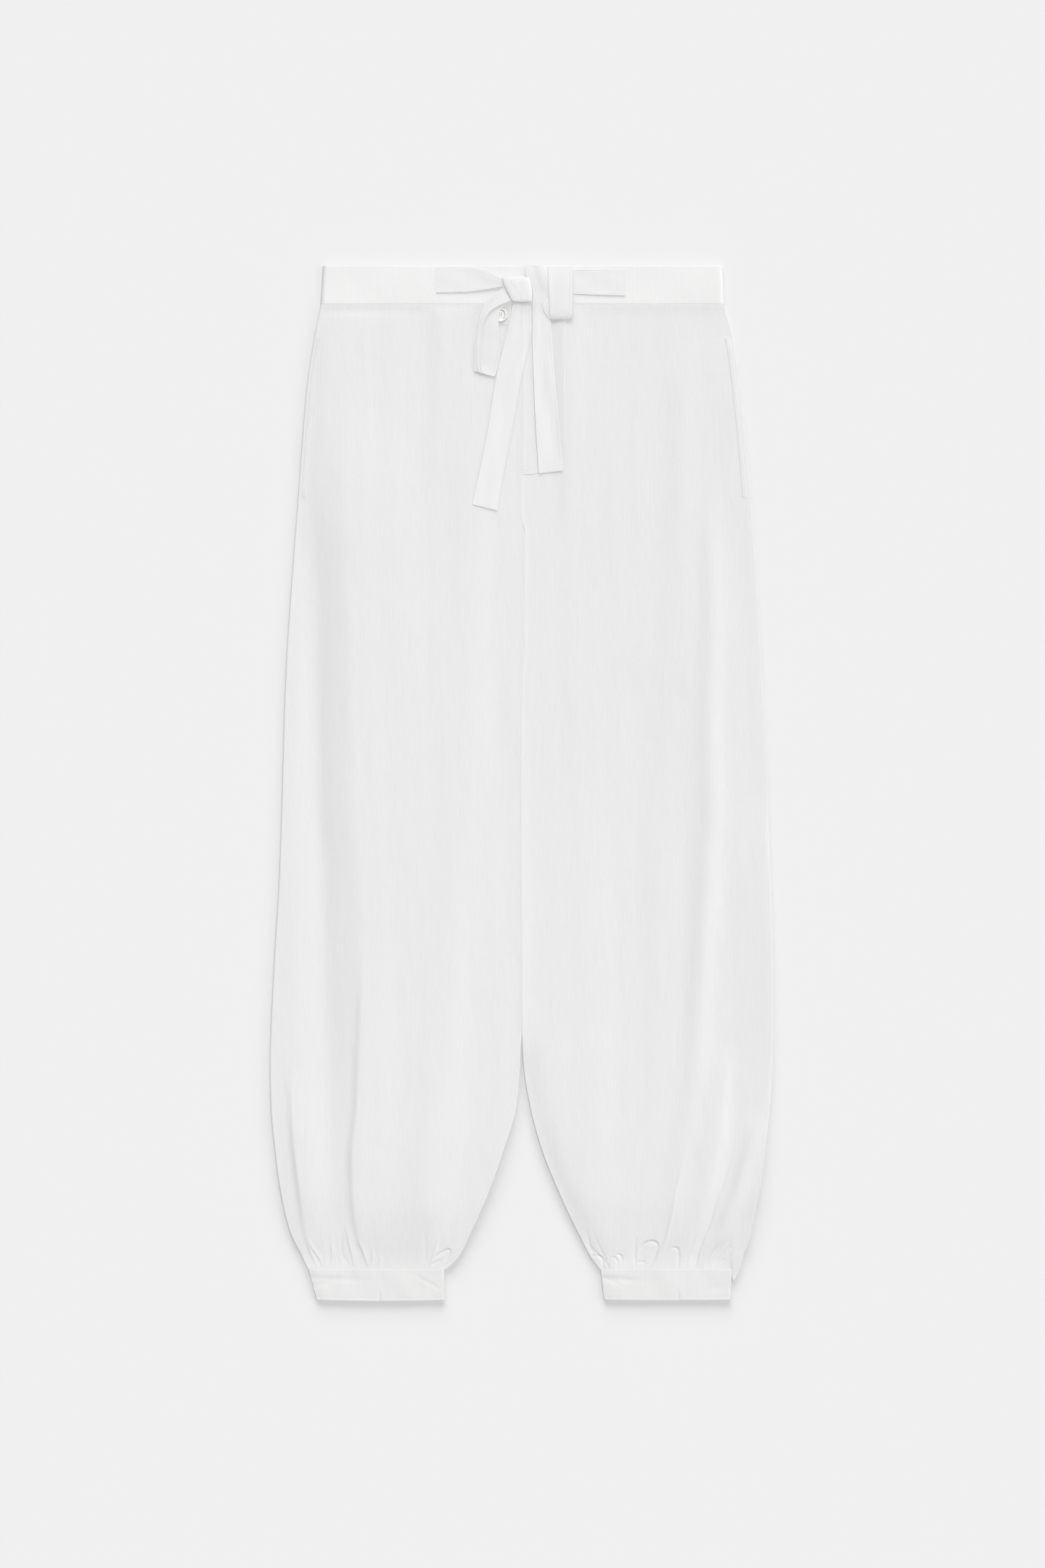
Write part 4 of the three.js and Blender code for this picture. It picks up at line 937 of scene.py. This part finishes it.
STRAP_LIFT = 0.05
STRAP_Z = WAISTBAND_TOP + BAND_WAVE + STRAP_LIFT + TIE_CLOTH / 2
ON_STRAP = 2 * GAP + TIE_CLOTH + BAND_WAVE
EDGE_WIDTH = 0.6  # how wide the tie's edges round over
EDGE_STITCH = 2.2  # how far from them its stitches run, in a shallow groove
GROOVE = 0.1

Strip = namedtuple("Strip", "y left right lift curl")  # curl is how far its left edge stands up
TAIL_LEFT = [
    Strip(276, -48.5, -24, GAP, 0),
    Strip(350, -34, -9.5, GAP + 0.1, 0.3),
    Strip(405, -25, 0.6, GAP + 0.4, 0.4),
    Strip(430, -19, 6.2, GAP + 0.7, 0.4),
    Strip(452, -13.6, 10, GAP + 1.3, 0.3),
    Strip(470, -9.8, 9.4, GAP + 2.2, 0.2),
    Strip(477, -8.2, 9.2, GAP + 2.5, 0),
    Strip(484, -7, 8, GAP + 2.3, 0),
]
TAIL_RIGHT = [
    Strip(306.8, 16.8, 41, GAP, 0.8),
    Strip(350, 13.8, 37.6, GAP + 0.3, 1),
    Strip(405, 11.6, 32.6, GAP + 0.6, 0.9),
    Strip(444, 10.4, 29.8, GAP + 0.8, 0.5),
    Strip(470, 10.6, 28, GAP + 1.1, 0.2),
    Strip(486, 11, 27.4, ON_STRAP, 0.2),
    Strip(494, 8.4, 27, ON_STRAP + 0.6, 0.3),
    Strip(501, 5, 26, ON_STRAP + 1.1, 0.3),
    Strip(507, 3.6, 24.4, ON_STRAP + 1.4, 0.2),
    Strip(512.6, 3.6, 22.4, ON_STRAP + 1.3, 0),
]
TAIL_SLANTS = {"left": -0.24, "right": 0.12}  # how the cut ends slope
EDGE_ROLL = 1.5  # how widely a tail's left edge rolls under
CUT_REACH = 30


def tie_edge(edge):
    """How far the tie's face falls to its edge and along its stitches, by the distance from the edge."""
    return PRESSED_EDGE * (1 - rounded(edge, EDGE_WIDTH)) + GROOVE * bell(edge - EDGE_STITCH, EDGE_WIDTH)


def tail(name, table, slant, rows, columns):
    """A flat tail of the tie that lies on the cloth."""
    knots = [strip.y for strip in table]
    rows_y = np.linspace(knots[0], knots[-1], rows)
    strips = columns_along(table, knots, rows_y)
    share = shares(columns)[None, :]
    y, left, width = (v[:, None] for v in (rows_y, strips["left"], strips["right"] - strips["left"]))
    x = left + width * share
    bow = 0.5 * np.sin(y / 17) * np.sin(2 * np.pi * share) + 0.25 * np.sin(y / 41)
    curl = strips["curl"][:, None] * ((1 - share) ** 4 - (1 - rounded(x - left, EDGE_ROLL)))
    y = y + slant * (x - left) * (1 - smoothstep(y, knots[0], knots[0] + CUT_REACH))
    z = cloth_top(x, np.minimum(y, WAIST_TOP - 3)) + strips["lift"][:, None] + TIE_CLOTH + curl
    z += np.maximum(bow, -0.15) * 0.8 - tie_edge(np.minimum(share, 1 - share) * width)
    return shell(name, np.stack([x, y, z], -1), TIE_CLOTH, tie_cloth)


piece = tail("tail_left", TAIL_LEFT, TAIL_SLANTS["left"], rows=180, columns=26)
finish_cloth(piece, "tie_tail_left")
piece = tail("tail_right", TAIL_RIGHT, TAIL_SLANTS["right"], rows=160, columns=26)
finish_cloth(piece, "tie_tail_right")

# One row of a loop or a strap: its middle, its width, and how that is turned and tipped, in degrees
Station = namedtuple("Station", "x y z width turn tip", defaults=(0, 0))
LOOP_LEFT = [
    Station(-16, 482, 11.2, 8, -40),
    Station(-23, 474.6, 10.8, 11, -30),
    Station(-28.6, 464.6, 10.6, 13.4, -14),
    Station(-30.6, 451.6, 10.3, 16, -3),
    Station(-30.4, 439.3, 9.4, 18.4),
    Station(-30.4, 426.2, 8.7, 20, -4),
    Station(-33.2, 412, 7.8, 19.6, -9),
    Station(-36.2, 405, 8.1, 18.6, -14),
    Station(-40.8, 406.4, 8.9, 12.5, -14, 3),
    Station(-43.4, 413, 9.4, 8.2, -8, 6),
    Station(-43.1, 431.2, 10.3, 7.2, -3, 8),
    Station(-41.2, 447.5, 11.1, 6.2, -6, 8),
    Station(-38.8, 460.6, 12.2, 7, -18, 6),
    Station(-34.6, 469.4, 12.6, 9, -38, 4),
    Station(-25.4, 477, 12.9, 11.4, -52),
    Station(-14.5, 483.6, 13, 15, -56),
]
LOOP_RIGHT = [
    Station(38.5, 511.6, 11.2, 25),
    Station(38.7, 503, 12, 25),
    Station(39, 490, 12.5, 24.4),
    Station(39.3, 478, 12.4, 23.6),
    Station(39.4, 466, 11.9, 23),
    Station(39.3, 461, 11.1, 21.6),
    Station(38.8, 459, 10.1, 20),
    Station(36.8, 461, 9.1, 20.8),
    Station(32.8, 468, 9.6, 22.4, -4),
    Station(31.2, 473.6, 9.8, 20.4, -6),
    Station(31.6, 479, 9.5, 14, -8),
    Station(32.6, 483, 9.1, 8, -8),
]
STRAP_LEFT = [
    Station(-84.6, 498.2, STRAP_Z, 25.2, 90),
    Station(-60, 498.6, STRAP_Z, 25, 90),
    Station(-40, 498.4, STRAP_Z + 0.3, 21, 90),
    Station(-18.6, 496.2, STRAP_Z + 1.4, 10, 90),
]
STRAP_RIGHT = [
    Station(8, 495, STRAP_Z, 12, 90),
    Station(50, 496.6, STRAP_Z, 24, 90),
    Station(75, 496, STRAP_Z, 25, 90),
    Station(102.6, 495.4, STRAP_Z, 25.2, 90),
]


def ribbon_frame(stations, rows):
    """The middle, side and outward direction of a ribbon at each of its rows, and its width."""
    knots = np.arange(len(stations))
    value = columns_along(stations, knots, np.linspace(0, knots[-1], rows))
    middle = np.stack([value["x"], value["y"], value["z"]], -1)
    direction = unit(np.gradient(middle, axis=0))
    turn, tip = np.radians(value["turn"]), np.radians(value["tip"])
    side = np.stack([np.cos(turn) * np.cos(tip), np.sin(turn) * np.cos(tip), np.sin(tip)], -1)
    return middle, side, unit(np.cross(side, direction)), value["width"]


def ribbon(name, stations, rows, columns):
    """A band of the tie."""
    middle, side, out, width = ribbon_frame(stations, rows)
    share = shares(columns)[None, :]
    across = (share - 0.5) * width[:, None]
    at = np.linspace(0, 1, rows)[:, None]
    height = 0.5 * TIE_CLOTH - tie_edge(np.minimum(share, 1 - share) * width[:, None])
    height = height + 0.15 * np.sin(9 * at + 5 * share) * np.sin(np.pi * share)
    points = middle[:, None, :] + side[:, None, :] * across[..., None] + out[:, None, :] * height[..., None]
    return shell(name, points, TIE_CLOTH, tie_cloth)


STRAP_ROWS = {"left": 90, "right": 110}

piece = ribbon("loop_left", LOOP_LEFT, rows=240, columns=26)
finish_cloth(piece, "bow_loop_left")
piece = ribbon("loop_right", LOOP_RIGHT, rows=200, columns=30)
finish_cloth(piece, "bow_loop_right")
piece = ribbon("strap_left", STRAP_LEFT, STRAP_ROWS["left"], columns=30)
finish_cloth(piece, "tie_strap_left")
piece = ribbon("strap_right", STRAP_RIGHT, STRAP_ROWS["right"], columns=30)
finish_cloth(piece, "tie_strap_right")

KNOT_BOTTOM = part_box("tie_knot")[0].z / MM
KNOT_LEFT = {476.4: -9.6, 481: -11.8, 488.3: -15.4, 494: -18, 500.6: -19.6}  # x of its sides at each y
KNOT_RIGHT = {476.4: 10, 485: 10.8, 494: 9, 500.6: 7}
KNOT_RIM = 12.2
KNOT_LIFT = 0.3
KNOT_CROWN = 1.5
KNOT_DOME = 0.15
KNOT_BARREL = 0.9
KNOT_POWER = 7
KNOT_GRID = (60, 72)
KNOT_CREASES = [(-0.3, -0.35, 0.06, 0.12), (0.34, -0.2, 0.05, 0.16)]  # place, slope, depth and width


def knot():
    """The wrapped knot: a closed cushion of cloth with slanting creases."""
    v, u = np.meshgrid(*(2 * shares(count) - 1 for count in KNOT_GRID), indexing="ij")
    y_low, y_high = min(KNOT_LEFT), max(KNOT_LEFT)
    y = y_low + (y_high - y_low) * (v + 1) / 2
    left, right = from_table(KNOT_LEFT, y), from_table(KNOT_RIGHT, y)
    x = left + (right - left) * (u + 1) / 2
    y = y + KNOT_BARREL * (1 - u**2) * v
    bulge = ((1 - np.abs(u) ** KNOT_POWER) * (1 - np.abs(v) ** KNOT_POWER)) ** 0.5
    crease = sum(depth * bell(u - place - slope * v, width) for place, slope, depth, width in KNOT_CREASES)
    crown = (KNOT_CROWN - crease) * bulge + KNOT_DOME * (1 - u**2) * (1 - v**2)
    upper = np.stack([x, y, KNOT_RIM + KNOT_LIFT + crown], -1)
    lower = np.stack([x, y, KNOT_RIM - (KNOT_RIM - KNOT_BOTTOM) * bulge], -1)
    rows, columns = u.shape
    faces = grid_faces(rows, columns, 0, False, False) + grid_faces(rows, columns, u.size, True, False)
    number = np.arange(u.size).reshape(u.shape)
    for edge in (number[0], number[-1][::-1], number[::-1, 0], number[:, -1]):
        faces += rim_faces(edge, edge + u.size)
    return make_piece("knot", np.concatenate([upper.reshape(-1, 3), lower.reshape(-1, 3)]), faces, tie_cloth)


finish_cloth(knot(), "tie_knot")

# Button and its tab

TAB_LOW, TAB_HIGH = (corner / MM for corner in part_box("button_tab"))
tab_rows = np.linspace(TAB_LOW.y, TAB_HIGH.y, 30)
tab = overlay("tab", tab_rows, TAB_LOW.x, TAB_HIGH.x, 30, band_cloth)
finish_cloth(tab, "button_tab")

BUTTON_LOW, BUTTON_HIGH = (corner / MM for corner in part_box("waist_button"))
BUTTON_DISH = 0.75
DISH_SIDE = (0.52, 0.78)  # shares of the radius between which the dish rises to the rim
BUTTON_EDGE = 1.1
EDGE_START = 0.86
HOLES = 4
HOLE = 0.9
HOLE_AT = 1.7
HOLE_SIDE = (0.75, 1.1)


def button():
    """A dished four-hole button, as rings of points over a flat foot."""
    centre = (BUTTON_LOW + BUTTON_HIGH) / 2
    radius = (BUTTON_HIGH.x - BUTTON_LOW.x) / 2
    ring_shares = np.concatenate([np.linspace(0.02, 0.62, 46), np.linspace(0.64, 1, 24)])
    share, a = np.meshgrid(ring_shares, np.linspace(0, 2 * np.pi, 97)[:-1], indexing="ij")
    x, y = radius * share * np.cos(a), radius * share * np.sin(a)
    z = BUTTON_HIGH.z - BUTTON_DISH * (1 - smoothstep(share, *DISH_SIDE))
    z -= BUTTON_EDGE * np.clip((share - EDGE_START) / (1 - EDGE_START), 0, 1) ** 3
    for k in range(HOLES):
        angle = 2 * math.pi * (k + 0.5) / HOLES
        apart = np.hypot(x - HOLE_AT * math.cos(angle), y - HOLE_AT * math.sin(angle))
        z -= HOLE * (1 - smoothstep(apart / HOLE, *HOLE_SIDE))
    top = np.stack([centre.x + x, centre.y + y, z], -1)
    foot = top[-1] * [1, 1, 0] + [0, 0, BUTTON_LOW.z]
    hub = [[centre.x, centre.y, BUTTON_HIGH.z - BUTTON_DISH], [centre.x, centre.y, BUTTON_LOW.z]]
    rows, columns = share.shape
    faces = grid_faces(rows, columns, 0, True, True)
    last, base, middle = (rows - 1) * columns, rows * columns, (rows + 1) * columns
    for k in range(columns):
        n = (k + 1) % columns
        faces.append([last + k, base + k, base + n, last + n])
        faces.append([k, n, middle])
        faces.append([base + n, base + k, middle + 1])
    return make_piece("button", np.concatenate([top.reshape(-1, 3), foot, hub]), faces, resin)


waist_button = button()
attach(waist_button, "root")
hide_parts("waist_button")


# Stitching

STITCH = 2.1
STITCH_GAP = 0.8
STITCH_SINK = 0.25
STITCH_RISE = 0.06
STITCH_BENDS = (0, 0.18, 0.82, 1)  # shares of a stitch's length
THREAD_RADIUS = 0.12
THREAD_SIDES = 6
FLY_STITCH = 2.2  # how far the fly's and the pockets' stitches run from the edge
POCKET_STITCH = 1.3
FLY_BAR = 6  # the lengths of the bars at the openings' ends, and how far from them they are
POCKET_BAR = 5
POCKET_BAR_IN = 2
CUFF_STITCH_IN = 5


def stitched(name, lines):
    """Rows of stitches along lines of points, sunk a little into the cloth at both ends of each stitch."""
    points, faces = [], []
    angles = np.linspace(0, 2 * np.pi, THREAD_SIDES + 1)[:-1]
    for line in lines:
        line = np.asarray(line, float)
        travelled = np.concatenate([[0], np.cumsum(np.linalg.norm(np.diff(line, axis=0), axis=1))])
        for start in np.arange(0.3, travelled[-1] - STITCH, STITCH + STITCH_GAP):
            stops = start + STITCH * np.array(STITCH_BENDS)
            path = np.stack([np.interp(stops, travelled, line[:, k]) for k in range(3)], -1)
            path[:, 2] += [-STITCH_SINK, STITCH_RISE, STITCH_RISE, -STITCH_SINK]
            forward = unit(path[-1] - path[0])
            side = unit(np.cross(forward, [0, 0, 1]))
            up = np.cross(side, forward)
            first = len(points)
            points.append(path[0])
            for p in path[1:3]:
                points.extend(p + THREAD_RADIUS * (np.cos(a) * side + np.sin(a) * up) for a in angles)
            points.append(path[3])
            for k in range(THREAD_SIDES):
                near, far = first + 1 + k, first + 1 + k + THREAD_SIDES
                near_next = first + 1 + (k + 1) % THREAD_SIDES
                far_next = near_next + THREAD_SIDES
                faces.append([first, near_next, near])
                faces.append([near, near_next, far_next, far])
                faces.append([far, far_next, first + 1 + 2 * THREAD_SIDES])
    piece = make_piece(name, points, faces, thread)
    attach(piece, "root")


def on_cloth(x, y):
    """A line of points on a layer that lies on the cloth."""
    x, y = np.broadcast_arrays(np.asarray(x, float), np.asarray(y, float))
    return np.stack([x, y, cloth_top(x, y) + OVERLAY_TOP], -1)


def bartack(x, y, length):
    """Close stitches across the end of an opening, as a short bar."""
    along = np.linspace(-length / 2, length / 2, 9)
    return [on_cloth(x + along, y + off) for off in (-0.5, 0, 0.5)]


y = np.linspace(FLY_LOW.y + 2, FLY_HIGH.y - 1, 200)
lines = [on_cloth(fly_edge(y) - FLY_STITCH, y), *bartack(FLY_LOW.x + 3, FLY_LOW.y + 4, FLY_BAR)]
stitched("stitches_fly", lines)

for side in legs:
    y = pocket_rows(side, POCKET_BAR_IN, 150)
    x = inward(side, y, POCKET_INSET + POCKET_WIDTH - POCKET_STITCH)
    lines = [on_cloth(x, y), *bartack(x[0], y[0], POCKET_BAR), *bartack(x[-1], y[-1], POCKET_BAR)]
    stitched("stitches_pocket_" + side, lines)

for side, (_, (left, right)) in CUFF_ENDS.items():
    x = np.linspace(left + CUFF_STITCH_IN, right - CUFF_STITCH_IN, 120)
    y = np.full_like(x, HEM + CUFF_STITCH)
    z = CUFF_TOP - CUFF_GROOVE + 0.05 * np.sin(x / 11)
    stitched("stitches_cuff_" + side, [np.stack([x, y, z], -1)])


def strap_stitches(side, stations, end):
    """Stitches along both edges of a strap, and across it at one share of its length."""
    rows = STRAP_ROWS[side]
    middle, across, out, width = ribbon_frame(stations, rows)
    middle = middle + out * (0.5 * TIE_CLOTH - GROOVE)
    half = (width / 2 - EDGE_STITCH)[:, None]
    k = round(end * (rows - 1))
    lines = [middle - across * half, middle + across * half]
    lines.append(middle[k] + across[k] * half[k] * np.linspace(-1, 1, 20)[:, None])
    stitched("stitches_strap_" + side, lines)


strap_stitches("left", STRAP_LEFT, 0.03)
strap_stitches("right", STRAP_RIGHT, 0.97)


# Floor, light and camera


FLOOR_HALF = 6000


def floor():
    finish = {"Base Color": (0.828, 0.828, 0.828, 1), "Roughness": 1, "Specular IOR Level": 0}
    material = new_material("pale_floor", finish)[0]
    corners = [[x * FLOOR_HALF, y * FLOOR_HALF, -GAP] for x, y in ((-1, -1), (1, -1), (1, 1), (-1, 1))]
    make_piece("floor", corners, [[0, 1, 2, 3]], material)


SKY = 0.08
# Angles are in degrees, and side is from the right to the waist
Sun = namedtuple("Sun", "name strength angle height side shadow bounces")
SUNS = [
    Sun("overhead", 0.2, 30, 90, 0, True, 4),
    Sun("overhead_fill", 0.9, 30, 90, 0, False, 4),
    Sun("key", 1.82, 46, 35, 95, True, 0),
    Sun("side_fill", 1.76, 60, 28, 6, False, 0),
    Sun("left_fill", 0.34, 60, 12, 186, False, 0),
]


def lights():
    world = bpy.data.worlds.new("studio")
    world.use_nodes = True
    background = world.node_tree.nodes["Background"]
    background.inputs["Color"].default_value = (1, 1, 1, 1)
    background.inputs["Strength"].default_value = SKY
    bpy.context.scene.world = world
    for sun in SUNS:
        data = bpy.data.lights.new(sun.name, "SUN")
        data.energy = sun.strength
        data.angle = math.radians(sun.angle)
        data.use_shadow = sun.shadow
        data.cycles.max_bounces = sun.bounces
        light = bpy.data.objects.new(sun.name, data)
        high, side = math.radians(sun.height), math.radians(sun.side)
        towards = Vector((math.cos(high) * math.cos(side), math.cos(high) * math.sin(side), math.sin(high)))
        light.rotation_euler = towards.to_track_quat("Z", "Y").to_euler()
        bpy.context.scene.collection.objects.link(light)


def camera():
    """Straight above, with the photograph's frame."""
    data = bpy.data.cameras.new("camera")
    data.sensor_width = 36
    distance = CAMERA_HEIGHT - FOCUS_HEIGHT
    data.lens = data.sensor_width * distance / (PHOTO_HEIGHT * MM_PER_PIXEL)
    data.clip_end = 50
    view = bpy.data.objects.new("camera", data)
    x = (PHOTO_WIDTH / 2 - MIDDLE_PIXEL[0]) * MM_PER_PIXEL
    y = (MIDDLE_PIXEL[1] - PHOTO_HEIGHT / 2) * MM_PER_PIXEL
    view.location = (x * MM, y * MM, CAMERA_HEIGHT * MM)
    bpy.context.scene.collection.objects.link(view)
    bpy.context.scene.camera = view


floor()
lights()
camera()
bpy.context.scene.view_settings.view_transform = "Standard"
